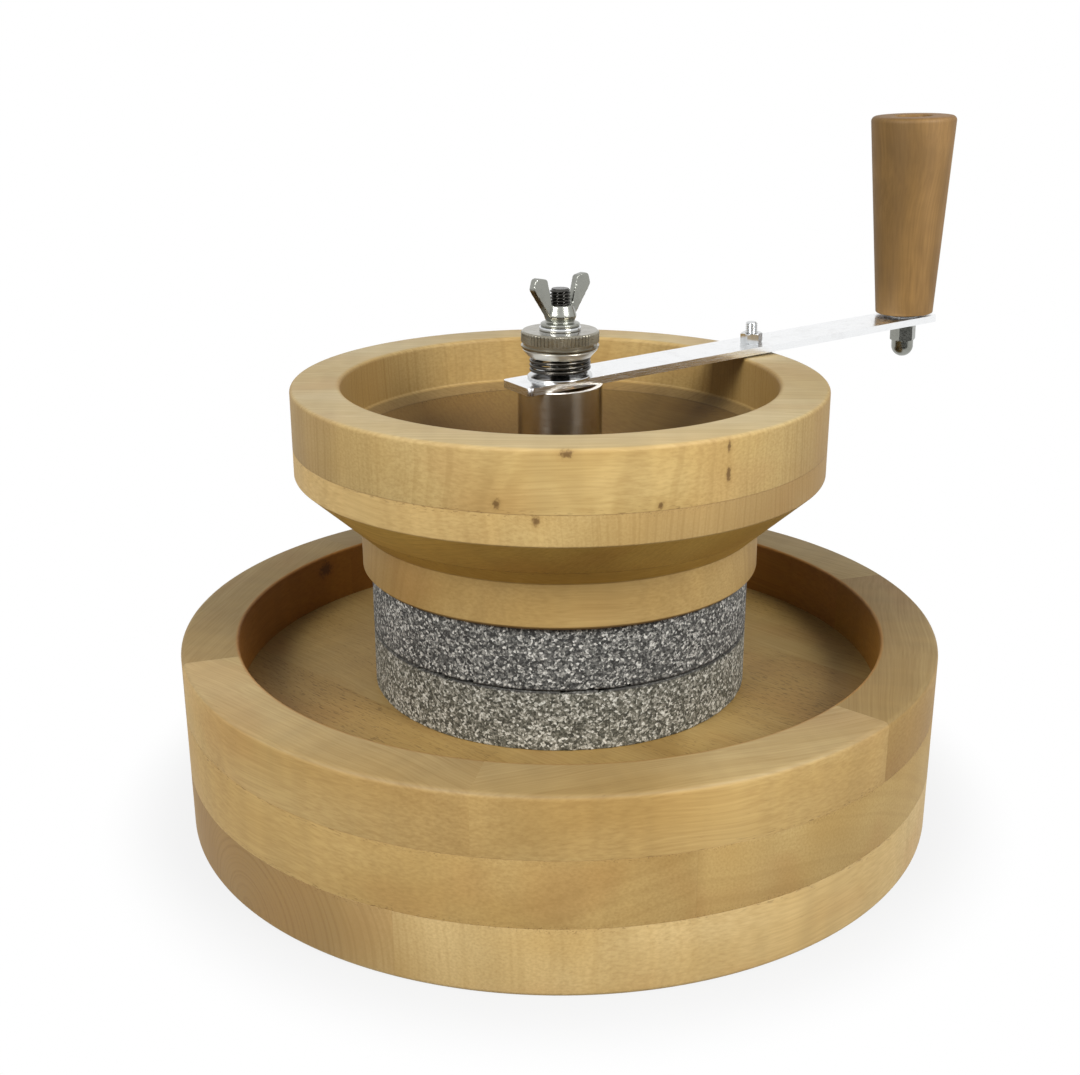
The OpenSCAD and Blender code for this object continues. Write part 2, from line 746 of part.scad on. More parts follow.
module wing_nut() {
    color(bright_steel) translate([0, 0, wing_z]) rotate([0, 0, wing_a]) difference() {
        union() {
            rotate_extrude() polygon([
                [0, 0],
                [wing_foot_r, 0],
                [wing_foot_r, wing_foot_h],
                [wing_boss_r + wing_flare, 2 * wing_foot_h],
                [wing_boss_r, wing_boss_h - wing_bevel],
                [wing_boss_r - wing_bevel, wing_boss_h],
                [0, wing_boss_h]]);
            for (side = [0, 180]) rotate([0, 0, side]) translate([0, wing_t / 2, 0]) rotate([90, 0, 0])
                linear_extrude(wing_t) wing_blade();
        }
        translate([0, 0, -cut]) cylinder(r = thread_hole_r, h = wing_h + 2 * cut);
    }
}

tray_bottom_board();
tray_floor_board();
for (i = [1 : tray_segments]) tray_rim_segment(i);
bed_stone();
spindle();
bed_clamp_washer();
foot_washer();
foot_nut();
thrust_washer();
pressure_spring();
runner_stone();
rynd();
rynd_screws();
drive_tube();
lower_bush();
upper_bush();
hopper_neck_ring();
hopper_funnel_ring();
hopper_rim_ring();
crank_arm();
arm_stud();
arm_stud_washer();
arm_stud_nut();
handle_bolt();
handle_sleeve();
handle_head_washer();
handle_seat_washer();
handle_nut_washer();
handle_cap_nut();
grip();
spring_cup();
knurled_nut();
lock_washer();
wing_nut();
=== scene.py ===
"""Looks of a hand-cranked stone grain mill: oiled wood, dressed granite and plated steel."""

import logging
import math
from collections.abc import Callable, Sequence
from dataclasses import dataclass
from enum import Enum

import bmesh
import bpy
from mathutils import Matrix, Quaternion, Vector, noise


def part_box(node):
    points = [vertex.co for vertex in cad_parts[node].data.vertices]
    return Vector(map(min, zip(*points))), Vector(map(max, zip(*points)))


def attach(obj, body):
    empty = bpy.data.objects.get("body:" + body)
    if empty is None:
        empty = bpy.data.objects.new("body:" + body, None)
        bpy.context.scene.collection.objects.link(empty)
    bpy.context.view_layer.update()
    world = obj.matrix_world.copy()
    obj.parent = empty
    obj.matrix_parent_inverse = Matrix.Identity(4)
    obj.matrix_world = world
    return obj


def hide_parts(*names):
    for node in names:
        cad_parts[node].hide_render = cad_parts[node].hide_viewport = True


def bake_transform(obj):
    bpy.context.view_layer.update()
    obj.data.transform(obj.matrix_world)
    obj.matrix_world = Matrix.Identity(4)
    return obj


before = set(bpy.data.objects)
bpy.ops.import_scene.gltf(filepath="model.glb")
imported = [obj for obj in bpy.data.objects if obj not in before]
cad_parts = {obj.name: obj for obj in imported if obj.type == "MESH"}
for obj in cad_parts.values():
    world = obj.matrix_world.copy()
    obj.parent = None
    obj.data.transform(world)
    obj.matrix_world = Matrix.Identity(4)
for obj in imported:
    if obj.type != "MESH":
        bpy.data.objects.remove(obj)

LOG = logging.getLogger("grain_mill")
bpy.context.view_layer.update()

MM = 0.001
LATHE_STEPS = 240
FILLET_STEPS = 5
SHARP_DEG = 32.0
BEVEL_DEG = 40.0
MERGE = 1e-7
WELD = 1e-6
JUST_OFF = 0.01
THREAD_CUTS = 8
THREAD_DEPTH = 0.61
THREAD_ROUNDING = 1.4
THREAD_PLAY = 0.05
CHAMFER_SLOPE = 1.7
QUARTER_TURN = 0.25
WHITE = "#ffffff"

# Inputs and output of Blender's colour Mix node, and the setting of a range with soft ends
MIX_FACTOR, MIX_A, MIX_B = 0, 6, 7
MIX_RESULT = 2
SOFT = {"interpolation_type": "SMOOTHSTEP"}

Material = bpy.types.Material
Piece = bpy.types.Object
Shape = bmesh.types.BMesh
Tree = bpy.types.NodeTree
Socket = bpy.types.NodeSocket
Inputs = dict[str | int, object] | Sequence[object]
Stops = Sequence[tuple[float, str]]
Layers = list[tuple[Socket, str | Socket]]
Sizes = tuple[float, float, float]


class Body(Enum):
    """The bodies that move on their own."""

    BASE = "base"
    RUNNER = "runner"
    GRIP = "grip"
    SPRING_CUP = "spring_cup"
    KNURLED_NUT = "knurled_nut"
    LOCK_WASHER = "lock_washer"
    WING_NUT = "wing_nut"


class Slot(Enum):
    """The record's material slots for the pieces made here."""

    WOOD = "oiled_hardwood"
    HANDLE = "handle_wood"
    BED = "bed_granite"
    RUNNER = "runner_granite"
    ZINC = "zinc_plate"
    NICKEL = "nickel_plate"
    TUBE = "polished_tube"
    SPRING = "spring_steel"


def linear(hex_colour: str) -> tuple[float, float, float, float]:
    """Turns an sRGB hex colour into linear light.

    Args:
        hex_colour: Colour such as "#c8a66c".

    Returns:
        Linear red, green and blue, and an alpha of 1.
    """
    values = [int(hex_colour[i:i + 2], 16) / 255 for i in (1, 3, 5)]
    light = [v / 12.92 if v <= 0.04045 else ((v + 0.055) / 1.055) ** 2.4 for v in values]
    return (light[0], light[1], light[2], 1.0)


def set_inputs(tree: Tree, node: bpy.types.Node, inputs: Inputs) -> None:
    """Links or sets a node's inputs.

    Args:
        tree: Node tree that holds the node.
        node: The node.
        inputs: An output to link, a hex colour or a value for each input, by name or number or in order.
    """
    for key, value in inputs.items() if isinstance(inputs, dict) else enumerate(inputs):
        if isinstance(value, Socket):
            tree.links.new(value, node.inputs[key])
        else:
            node.inputs[key].default_value = linear(value) if isinstance(value, str) else value


def add_node(
    tree: Tree, kind: str, inputs: Inputs = (), output: str | int = 0, stops: Stops = (), **settings: object
) -> Socket:
    """Adds one shader node.

    Args:
        tree: Node tree that takes the node.
        kind: Blender's name of the node, after "ShaderNode".
        inputs: Its inputs, as set_inputs takes them.
        output: Name or number of the output to hand back.
        stops: Places and colours of a colour ramp.
        settings: The node's properties by name.

    Returns:
        That output of the new node.
    """
    node = tree.nodes.new("ShaderNode" + kind)
    for name, value in settings.items():
        setattr(node, name, value)
    if stops:
        marks = node.color_ramp.elements
        while len(marks) < len(stops):
            marks.new(1.0)
        for mark, (place, colour) in zip(marks, stops):
            mark.position = place
            mark.color = linear(colour)
    set_inputs(tree, node, inputs)
    return node.outputs[output]


def new_material(name: str) -> tuple[Material, Tree, bpy.types.Node, Socket]:
    """Starts a material.

    Args:
        name: Name of the material.

    Returns:
        The material, its tree, its surface shader, and the place on the object in millimetres.
    """
    material = bpy.data.materials.new(name)
    material.use_nodes = True
    tree = material.node_tree
    place = add_node(tree, "TexCoord", output="Object")
    place = add_node(tree, "VectorMath", {0: place, "Scale": 1 / MM}, operation="SCALE")
    return material, tree, tree.nodes["Principled BSDF"], place


@dataclass(frozen=True)
class Knot:
    """A small knot in a round face.

    It has a direction in degrees, a height, a radius from the axis and a size in millimetres, and a length
    in times its width.
    """

    angle: float
    height: float
    radius: float
    size: float
    length: float

    def point(self) -> tuple[float, float, float]:
        """Place of the knot in millimetres."""
        a = math.radians(self.angle)
        return (self.radius * math.cos(a), self.radius * math.sin(a), self.height)


@dataclass(frozen=True)
class Lay:
    """How one piece was cut, and the light and shade painted on it.

    The grain has a direction, the seed picks a part of the tree, the tree has a heart, and planks have a
    width and a joint. Painted shade and sheen tint the wood by its distance from the axis, and a painted
    light fade tints it along one direction, both in millimetres.
    """

    grain_deg: float
    seed: float
    heart: tuple[float, float]
    tone: float
    warmth: float
    plank: float = 0.0
    joint: float = 0.0
    upright: bool = False
    # Painted shade and sheen, by distance from the axis
    painted_shade_and_sheen: Stops = ()
    # Painted light fade along one direction, lighter on one side of a piece
    painted_light_fade: Stops = ()
    painted_light_fade_deg: float = -32.6
    end_share: float = 0.5
    end_from: float = 0.55
    ring_share: float = 0.12
    ring_mm: float = 3.4
    glue_lines: Sequence[float] = ()
    glue_share: float = 0.15
    knots: Sequence[Knot] = ()


class Onset(Enum):
    """How a mark comes in between two levels of its noise."""

    SOFT = "SMOOTHSTEP"
    EVEN = "LINEAR"


@dataclass(frozen=True)
class Mark:
    """One kind of mark in the wood: noise drawn out along the grain, with its sizes in millimetres.

    Between two levels of the noise, the mark's share goes from its first value to its second.
    """

    across: float
    along: float
    detail: float
    levels: tuple[float, float]
    share: tuple[float, float] = (0.0, 1.0)
    onset: Onset = Onset.SOFT

    def draw(self, tree: Tree, grain: Socket) -> tuple[Socket, Socket]:
        """Draws the mark.

        Args:
            tree: Node tree that takes it.
            grain: Place in the wood, with the grain along X.

        Returns:
            The noise, and the mark's share.
        """
        scale = (1 / self.along, 1 / self.across, 1 / self.across)
        place = add_node(tree, "VectorMath", (grain, scale), operation="MULTIPLY")
        pattern = add_node(tree, "TexNoise", {"Vector": place, "Scale": 1.0, "Detail": self.detail})
        return pattern, add_node(
            tree, "MapRange", (pattern, *self.levels, *self.share), interpolation_type=self.onset.value)


@dataclass(frozen=True)
class OiledBirch:
    """Birch, turned, sanded fine and oiled.

    The eye sees a honey colour, faint growth rings, hair-fine fibres with short dark flecks, end grain that
    drank more oil and went darker, and a dull sheen that greys the faces seen at a low angle. Real fibres
    are finer than the render can show, so they are drawn as coarse as they need to be.
    """

    pale: str = "#d6b97f"
    honey: str = "#c6a567"
    ring_line: str = "#a58248"
    dark: str = "#7d5a2b"
    end_grain: str = "#8f6d3c"
    blush: str = "#bd8c52"
    knot_heart: str = "#5f3f16"
    fibres: Mark = Mark(0.85, 70.0, 3.0, (0.35, 0.75), (0.0, 0.46), Onset.EVEN)
    flecks: Mark = Mark(0.55, 3.6, 1.0, (0.71, 0.82), (0.0, 0.24))
    clouds: Mark = Mark(42.0, 120.0, 2.0, (0.3, 0.7))
    curls: Mark = Mark(42.0, 9.0, 1.0, (0.3, 0.7), (0.95, 1.05), Onset.EVEN)
    blushes: Mark = Mark(30.0, 55.0, 1.0, (0.5, 0.72), (0.0, 0.3))
    tree_step_mm: float = 173.0
    plank_step_mm: Sizes = (417.0, 37.0, 11.0)
    joint_mm: float = 0.35
    joint_share: float = 0.1
    wave_mm: float = 55.0
    sway_mm: float = 8.0
    ring_levels: tuple[float, float] = (0.42, 0.7)
    end_rings: float = 0.4
    knot_heart_from: float = 0.4
    knot_ring_to: float = 2.6
    knot_ring_share: float = 0.4
    knot_heart_to: float = 1.25
    knot_heart_share: float = 0.8
    knot_raggedness: float = 1.4
    torn_per_mm: float = 0.9
    glue_mm: float = 0.3
    torn_mm: float = 2.6
    torn_share: float = 0.6
    splinter_levels: tuple[float, float] = (0.58, 0.68)
    fibre_bump: float = 0.12
    fibre_depth_mm: float = 0.15
    roughness: tuple[float, float] = (0.54, 0.68)
    ior: float = 1.47

    def knot_layers(self, tree: Tree, place: Socket, knots: Sequence[Knot]) -> Layers:
        """Draws knots, each with a dark heart in a ring of darker wood.

        Args:
            tree: Node tree that takes them.
            place: Place on the object in millimetres.
            knots: The knots.

        Returns:
            Shares and colours to lay over the wood.
        """
        layers: Layers = []
        for knot in knots:
            torn = add_node(
                tree, "TexNoise", {"Vector": place, "Scale": self.torn_per_mm, "Detail": 2.0}, "Color")
            offset = add_node(tree, "VectorMath", (place, knot.point()), operation="SUBTRACT")
            stretch, ragged = (1.0, 1.0, 1 / knot.length), self.knot_raggedness * knot.size
            oval = add_node(
                tree, "VectorMath", (offset, stretch, (-ragged / 2,) * 3), operation="MULTIPLY_ADD")
            edge = add_node(tree, "VectorMath", (torn, (ragged,) * 3, oval), operation="MULTIPLY_ADD")
            away = add_node(tree, "VectorMath", (edge,), "Value", operation="LENGTH")
            for stain, reach, share in (
                (self.ring_line, self.knot_ring_to, self.knot_ring_share),
                (self.knot_heart, self.knot_heart_to, self.knot_heart_share),
            ):
                near, far = self.knot_heart_from * knot.size, reach * knot.size
                layers.append((add_node(tree, "MapRange", (away, near, far, share, 0.0), **SOFT), stain))
        return layers

    def glue_layers(self, tree: Tree, place: Socket, lay: Lay, cloud: Socket, fleck: Socket) -> Layers:
        """Draws glue lines: oil stains the glued edge and fills small splinters torn out beside it.

        Args:
            tree: Node tree that takes them.
            place: Place on the object in millimetres.
            lay: How the piece was cut.
            cloud: Share that spreads the splinters in patches.
            fleck: Noise that shapes the splinters.

        Returns:
            Shares and colours to lay over the wood.
        """
        layers: Layers = []
        height = add_node(tree, "SeparateXYZ", (place,), "Z")
        for line in lay.glue_lines:
            off = add_node(tree, "Math", (height, line), operation="SUBTRACT")
            off = add_node(tree, "Math", (off,), operation="ABSOLUTE")
            edge = add_node(tree, "MapRange", (off, 0.0, self.glue_mm, lay.glue_share, 0.0))
            patch = add_node(tree, "Math", (cloud, self.torn_share), operation="MULTIPLY")
            near = add_node(tree, "MapRange", (off, 0.0, self.torn_mm, patch, 0.0))
            splinter = add_node(tree, "MapRange", (fleck, *self.splinter_levels, 0.0, near), **SOFT)
            layers += [(edge, self.knot_heart), (splinter, self.knot_heart)]
        return layers

    def tinted(self, tree: Tree, place: Socket, lay: Lay, colour: Socket) -> Socket:
        """Tints the wood by its painted shade and sheen and by its painted light fade.

        Args:
            tree: Node tree that takes the tints.
            place: Place on the object in millimetres.
            lay: How the piece was cut, with its painted shade and light.
            colour: Colour of the wood.

        Returns:
            The tinted colour.
        """
        tints = []
        if lay.painted_shade_and_sheen:
            # Painted shade darkens the inside and the top more than the outer wall, and painted sheen greys
            # the top
            level = add_node(tree, "VectorMath", (place, (1.0, 1.0, 0.0)), operation="MULTIPLY")
            reach = add_node(tree, "VectorMath", (level,), "Value", operation="LENGTH")
            tints.append((reach, 0.0, lay.painted_shade_and_sheen))
        if lay.painted_light_fade:
            # Painted light: a fade along one direction that lights one side of the piece more than the other
            way = math.radians(lay.painted_light_fade_deg)
            lit_side = (math.cos(way), math.sin(way), 0.0)
            reach = add_node(tree, "VectorMath", (place, lit_side), "Value", operation="DOT_PRODUCT")
            tints.append((reach, lay.painted_light_fade[0][0], lay.painted_light_fade))
        for reach, first, stops in tints:
            last = stops[-1][0]
            share = add_node(tree, "MapRange", (reach, first, last, 0.0, 1.0))
            marks = [((at - first) / (last - first), tint) for at, tint in stops]
            tint = add_node(tree, "ValToRGB", (share,), "Color", marks)
            colour = add_node(tree, "VectorMath", (colour, tint), operation="MULTIPLY")
        warm = (1.0, 1.0 - lay.warmth / 4, 1.0 - lay.warmth)
        return add_node(tree, "VectorMath", (colour, warm), operation="MULTIPLY")

    def make(self, name: str, lay: Lay) -> Material:
        """Makes the material for one piece.

        Args:
            name: Name of the material.
            lay: How the piece was cut.

        Returns:
            The material.
        """
        material, tree, surface, place = new_material(name)
        turn = (0.0, math.radians(90), 0.0) if lay.upright else (0.0, 0.0, -math.radians(lay.grain_deg))
        cut = add_node(tree, "Mapping", {
            "Vector": place, "Rotation": turn, "Location": (self.tree_step_mm * lay.seed, 0.0, 0.0)})
        joints: Layers = []
        if lay.plank:
            # Planks side by side: each is shifted to a part of the tree of its own
            across = add_node(tree, "SeparateXYZ", (cut,), "Y")
            along = (across, 1 / lay.plank, -lay.joint / lay.plank)
            planks = add_node(tree, "Math", along, operation="MULTIPLY_ADD")
            number = add_node(tree, "Math", (planks,), operation="FLOOR")
            cut = add_node(tree, "VectorMath", (number, self.plank_step_mm, cut), operation="MULTIPLY_ADD")
            edge = add_node(tree, "Math", (planks, 0.5), operation="PINGPONG")
            line = (edge, 0.0, self.joint_mm / lay.plank, self.joint_share, 0.0)
            joints.append((add_node(tree, "MapRange", line), self.dark))
        # Slow waves in the grain
        wave = add_node(
            tree, "TexNoise", {"Vector": cut, "Scale": 1 / self.wave_mm, "Detail": 1.0}, "Color")
        sway = (0.0, self.sway_mm, self.sway_mm)
        grain = add_node(tree, "VectorMath", (wave, sway, cut), operation="MULTIPLY_ADD")
        # Growth rings round the heart of the tree
        heart = add_node(tree, "VectorMath", (grain, (0.0, *lay.heart)), operation="SUBTRACT")
        flat = add_node(tree, "VectorMath", (heart, (0.0, 1.0, 1.0)), operation="MULTIPLY")
        age = add_node(tree, "VectorMath", (flat,), "Value", operation="LENGTH")
        years = add_node(tree, "Math", (age, 1 / lay.ring_mm), operation="MULTIPLY")
        rings = add_node(
            tree, "TexNoise", {"W": years, "Scale": 1.0, "Detail": 1.5}, noise_dimensions="1D")
        # End grain: faces that look along the grain are darker and show the rings more
        facing = add_node(tree, "TexCoord", output="Normal")
        facing = add_node(tree, "Mapping", {"Vector": facing, "Rotation": turn}, vector_type="NORMAL")
        end_on = add_node(tree, "SeparateXYZ", (facing,), "X")
        end_on = add_node(tree, "Math", (end_on,), operation="ABSOLUTE")
        end = add_node(tree, "MapRange", (end_on, lay.end_from, 1.0, 0.0, lay.end_share), **SOFT)
        ring_depth = add_node(
            tree, "Math", (end, self.end_rings, lay.ring_share), operation="MULTIPLY_ADD")
        ring = add_node(tree, "MapRange", (rings, *self.ring_levels, 0.0, ring_depth), **SOFT)
        ring_colour = add_node(tree, "Mix", {
            MIX_FACTOR: end, MIX_A: self.ring_line, MIX_B: self.dark}, MIX_RESULT, data_type="RGBA")
        fibre_noise, fibre = self.fibres.draw(tree, grain)
        fleck_noise, fleck = self.flecks.draw(tree, grain)
        cloud, curl, blush = (
            mark.draw(tree, grain)[1] for mark in (self.clouds, self.curls, self.blushes))
        layers: Layers = [
            (cloud, self.honey), (blush, self.blush), (end, self.end_grain), (ring, ring_colour),
            (fibre, self.ring_line), (fleck, self.dark), *self.knot_layers(tree, place, lay.knots), *joints,
            *self.glue_layers(tree, place, lay, cloud, fleck_noise)]
        colour: str | Socket = self.pale
        for share, stain in layers:
            colour = add_node(tree, "Mix", {
                MIX_FACTOR: share, MIX_A: colour, MIX_B: stain}, MIX_RESULT, data_type="RGBA")
        tone = add_node(tree, "Math", (curl, lay.tone), operation="MULTIPLY")
        colour = add_node(tree, "VectorMath", {
            0: self.tinted(tree, place, lay, colour), "Scale": tone}, operation="SCALE")
        bump = add_node(tree, "Bump", {
            "Height": fibre_noise, "Strength": self.fibre_bump, "Distance": self.fibre_depth_mm * MM})
        dull = add_node(tree, "MapRange", (fibre_noise, 0.0, 1.0, *self.roughness))
        set_inputs(tree, surface, {"Base Color": colour, "Roughness": dull, "Normal": bump, "IOR": self.ior})
        return material


@dataclass(frozen=True)
class DressedGranite:
    """Granite, sawn round and dressed with a point.

    The eye sees packed black, grey and white crystals about 1 mm across and a dull, slightly pitted face,
    with painted shade along the seam between the stones.
    """

    stops: Stops
    crystal_mm: float = 0.95
    speck_mm: float = 0.6
    speck_share: float = 0.35
    uneven_per_mm: float = 0.9
    uneven_mm: float = 0.9
    # Painted shade in the seam between the stones
    seam_painted_shade: str = "#1c1a19"
    seam_shade_mm: tuple[float, float] = (-0.1, 0.7)
    seam_shade_share: float = 0.8
    pitting: float = 0.35
    pit_mm: float = 0.4
    roughness: float = 0.72
    ior: float = 1.55

    def make(self, name: str, seam: float) -> Material:
        """Makes the material.

        Args:
            name: Name of the material.
            seam: Height in millimetres where the two stones meet, which gets a band of painted shade.

        Returns:
            The material.
        """
        material, tree, surface, place = new_material(name)
        uneven = add_node(tree, "TexNoise", {"Vector": place, "Scale": self.uneven_per_mm, "Detail": 2.0})
        shift = (uneven.node.outputs["Color"], (self.uneven_mm,) * 3, place)
        ragged = add_node(tree, "VectorMath", shift, operation="MULTIPLY_ADD")
        crystals, specks = (
            add_node(tree, "TexVoronoi", {"Vector": ragged, "Scale": 1 / size}, "Color")
            for size in (self.crystal_mm, self.speck_mm))
        shade = add_node(tree, "Mix", {
            MIX_FACTOR: self.speck_share, MIX_A: crystals, MIX_B: specks}, MIX_RESULT, data_type="RGBA")
        shade = add_node(tree, "SeparateXYZ", (shade,), "X")
        colour = add_node(tree, "ValToRGB", (shade,), "Color", self.stops)
        # Painted shade along the seam where the stones meet, with a ragged edge
        off = add_node(tree, "SeparateXYZ", (place,), "Z")
        off = add_node(tree, "Math", (off, seam), operation="SUBTRACT")
        off = add_node(tree, "Math", (off,), operation="ABSOLUTE")
        off = add_node(tree, "Math", (uneven, -self.uneven_mm, off), operation="MULTIPLY_ADD")
        seam_painted_shade = add_node(tree, "MapRange", (off, *self.seam_shade_mm, self.seam_shade_share, 0.0), **SOFT)
        colour = add_node(tree, "Mix", {
            MIX_FACTOR: seam_painted_shade, MIX_A: colour, MIX_B: self.seam_painted_shade}, MIX_RESULT, data_type="RGBA")
        bump = add_node(tree, "Bump", {
            "Height": crystals.node.outputs["Distance"], "Strength": self.pitting,
            "Distance": self.pit_mm * MM})
        set_inputs(tree, surface, {
            "Base Color": colour, "Normal": bump, "Roughness": self.roughness, "IOR": self.ior})
        return material


@dataclass(frozen=True)
class Metal:
    """A metal surface with fine marks, which rolling, turning or grinding draws out one way.

    Most real marks are finer than the render can show, so they are drawn as coarse as they need to be.
    """

    name: str
    colour: str
    roughness: float
    marks_mm: Sizes
    spread: float = 0.08
    depth_mm: float = 0.01
    stain: str = "#8d8c88"
    stain_share: float = 0.25
    drawn_out: float = 0.0
    mark_levels: tuple[float, float] = (0.3, 0.7)
    mark_bump: float = 0.2
    stain_mm: float = 6.0
    stain_levels: tuple[float, float] = (0.45, 0.75)

    def make(self) -> Material:
        """Makes the material.

        Returns:
            The material.
        """
        material, tree, surface, place = new_material(self.name)
        lined = add_node(tree, "VectorMath", (place, self.marks_mm), operation="DIVIDE")
        marks = add_node(tree, "TexNoise", {"Vector": lined, "Scale": 1.0, "Detail": 3.0})
        cloud = add_node(tree, "TexNoise", {"Vector": place, "Scale": 1 / self.stain_mm, "Detail": 3.0})
        bright, dim = self.roughness - self.spread, self.roughness + self.spread
        dull = add_node(tree, "MapRange", (marks, *self.mark_levels, bright, dim))
        stain = add_node(tree, "MapRange", (cloud, *self.stain_levels, 0.0, self.stain_share), **SOFT)
        colour = add_node(tree, "Mix", {
            MIX_FACTOR: stain, MIX_A: self.colour, MIX_B: self.stain}, MIX_RESULT, data_type="RGBA")
        bump = add_node(tree, "Bump", {
            "Height": marks, "Strength": self.mark_bump, "Distance": self.depth_mm * MM})
        set_inputs(tree, surface, {"Base Color": colour, "Roughness": dull, "Normal": bump, "Metallic": 1.0})
        if self.drawn_out:
            # The marks run round the axis, so the gloss spreads along it
            around = add_node(tree, "Tangent", direction_type="RADIAL", axis="Z")
            set_inputs(tree, surface, {
                "Tangent": around, "Anisotropic": self.drawn_out, "Anisotropic Rotation": QUARTER_TURN})
        return material


# Zinc plated mild steel: bright and a little blue, with soft clouds where the plating is thin
ZINC = Metal("zinc_plated_steel", "#cfd1d2", 0.17, (0.5, 0.5, 0.5))
# Zinc cast in a mould and tumbled: greyer and softer than plate, bright where the edges are rubbed
CAST = Metal("tumbled_cast_zinc", "#94958e", 0.24, (0.9, 0.9, 0.9), 0.05, 0.005, stain="#6e6e67")
# Cold rolled flat bar under zinc: fine lines along the bar spread its gloss
ROLLED = Metal("zinc_plated_rolled_bar", "#f1f2f3", 0.24, (9.0, 0.25, 0.25), stain="#d2d2d1")
# Nickel plate on turned brass: warm, and the turning lines run round it
NICKEL = Metal("nickel_plated_turned_brass", "#948f81", 0.2, (4.0, 4.0, 0.2), stain="#635f54")
# Nickel plate on a face left fine from the lathe: paler, with a soft gloss
CUP = Metal("nickel_plated_lathe_face", "#d8d5cb", 0.36, (4.0, 4.0, 0.2), stain="#aaa69a")
# Turned steel rod, oiled and gone black: only the crests of its threads catch the light
BLACK_ROD = Metal("oiled_black_steel_rod", "#4b4a47", 0.28, (0.5, 0.5, 0.5), stain="#2b2a28")
# Stainless tube polished on a belt: fine rings draw its highlights out along the axis
TUBE = Metal(
    "polished_stainless_tube", "#dbd2c2", 0.17, (5.0, 5.0, 0.22), 0.03, 0.003, "#a59d8f", drawn_out=0.9)
# Oil-tempered spring wire: nearly black, with bright lines where it catches the light
SPRING_STEEL = Metal("oil_tempered_spring_wire", "#494641", 0.26, (0.3, 0.3, 0.3), stain="#2a2826")
# Forged iron left black from the fire: dull and scaly
IRON = Metal("black_forged_iron", "#3a3735", 0.5, (1.2, 1.2, 1.2), 0.1, 0.05, "#262423", 0.6)
# Cast bronze, bored: yellow-brown and dull
BRONZE = Metal("bored_cast_bronze", "#b08a4c", 0.35, (2.0, 2.0, 0.3), stain="#7d6236")


@dataclass(frozen=True)
class Corner:
    """One corner of an outline in millimetres, with the radius that rounds it."""

    across: float
    up: float
    fillet: float = 0.0

    def point(self) -> Vector:
        """The corner as a flat vector."""
        return Vector((self.across, self.up))


def rounded(*corners: Corner) -> list[Vector]:
    """Draws a closed outline.

    Args:
        corners: Its corners in order.

    Returns:
        Its points, with an arc at each rounded corner.
    """
    points: list[Vector] = []
    for i, corner in enumerate(corners):
        here = corner.point()
        if not corner.fillet:
            points.append(here)
            continue
        back = (corners[i - 1].point() - here).normalized()
        ahead = (corners[(i + 1) % len(corners)].point() - here).normalized()
        half = back.angle(ahead) / 2
        centre = here + (back + ahead).normalized() * corner.fillet / math.sin(half)
        start = here + back * corner.fillet / math.tan(half) - centre
        end = here + ahead * corner.fillet / math.tan(half) - centre
        turn = math.atan2(start.x * end.y - start.y * end.x, start.dot(end))
        for k in range(FILLET_STEPS + 1):
            points.append(centre + Matrix.Rotation(turn * k / FILLET_STEPS, 2) @ start)
    return points


def loft(shape: Shape, rings: Sequence[Sequence[Vector]], closed: bool = False) -> Shape:
    """Joins rings of points into a skin.

    Args:
        shape: The shape that takes the skin, in metres.
        rings: Rings of as many points each, in millimetres.
        closed: Whether the last ring joins the first; if not, the first and the last get a face.

    Returns:
        The shape.
    """
    skin = [[shape.verts.new(point * MM) for point in ring] for ring in rings]
    for here, there in zip(skin, skin[1:] + skin[:1] if closed else skin[1:]):
        for k in range(len(here)):
            shape.faces.new((here[k - 1], here[k], there[k], there[k - 1]))
    if not closed:
        shape.faces.new(skin[0])
        shape.faces.new(skin[-1])
    return shape


def lathe(
    outline: Sequence[Vector], steps: int = LATHE_STEPS, start_deg: float = 0.0, sweep_deg: float = 360.0
) -> Shape:
    """Turns a closed outline round the Z axis.

    Args:
        outline: Points as distance from the axis and height, in millimetres.
        steps: Steps round the sweep.
        start_deg: Direction where the sweep starts.
        sweep_deg: Angle of the sweep; less than a full turn gets flat ends.

    Returns:
        The closed shape, in metres.
    """
    whole = sweep_deg >= 360
    angles = [math.radians(start_deg + sweep_deg * k / steps) for k in range(steps if whole else steps + 1)]
    rings = [[Vector((p.x * math.cos(a), p.x * math.sin(a), p.y)) for p in outline] for a in angles]
    shape = loft(bmesh.new(), rings, whole)
    bmesh.ops.remove_doubles(shape, verts=shape.verts, dist=MERGE)
    return shape


def turned(
    levels: Sequence[float], radius: Callable[[float, float], float], steps: int, bore: float = 0.0
) -> Shape:
    """Makes a piece whose radius changes with height and angle, such as a thread, a knurl or a hexagon.

    Args:
        levels: Heights of the rings, in millimetres, from the bottom up.
        radius: Gives the radius in millimetres at a height and an angle in radians.
        steps: Points in each ring.
        bore: Radius of a straight hole through the piece, or 0.

    Returns:
        The closed shape, in metres.
    """
    angles = [2 * math.pi * k / steps for k in range(steps)]
    sizes = [(z, [radius(z, a) for a in angles]) for z in levels]
    if bore:
        sizes += [(z, [bore] * steps) for z in (levels[-1], levels[0])]
    rings = [[Vector((r * math.cos(a), r * math.sin(a), z)) for r, a in zip(row, angles)] for z, row in sizes]
    return loft(bmesh.new(), rings, bool(bore))


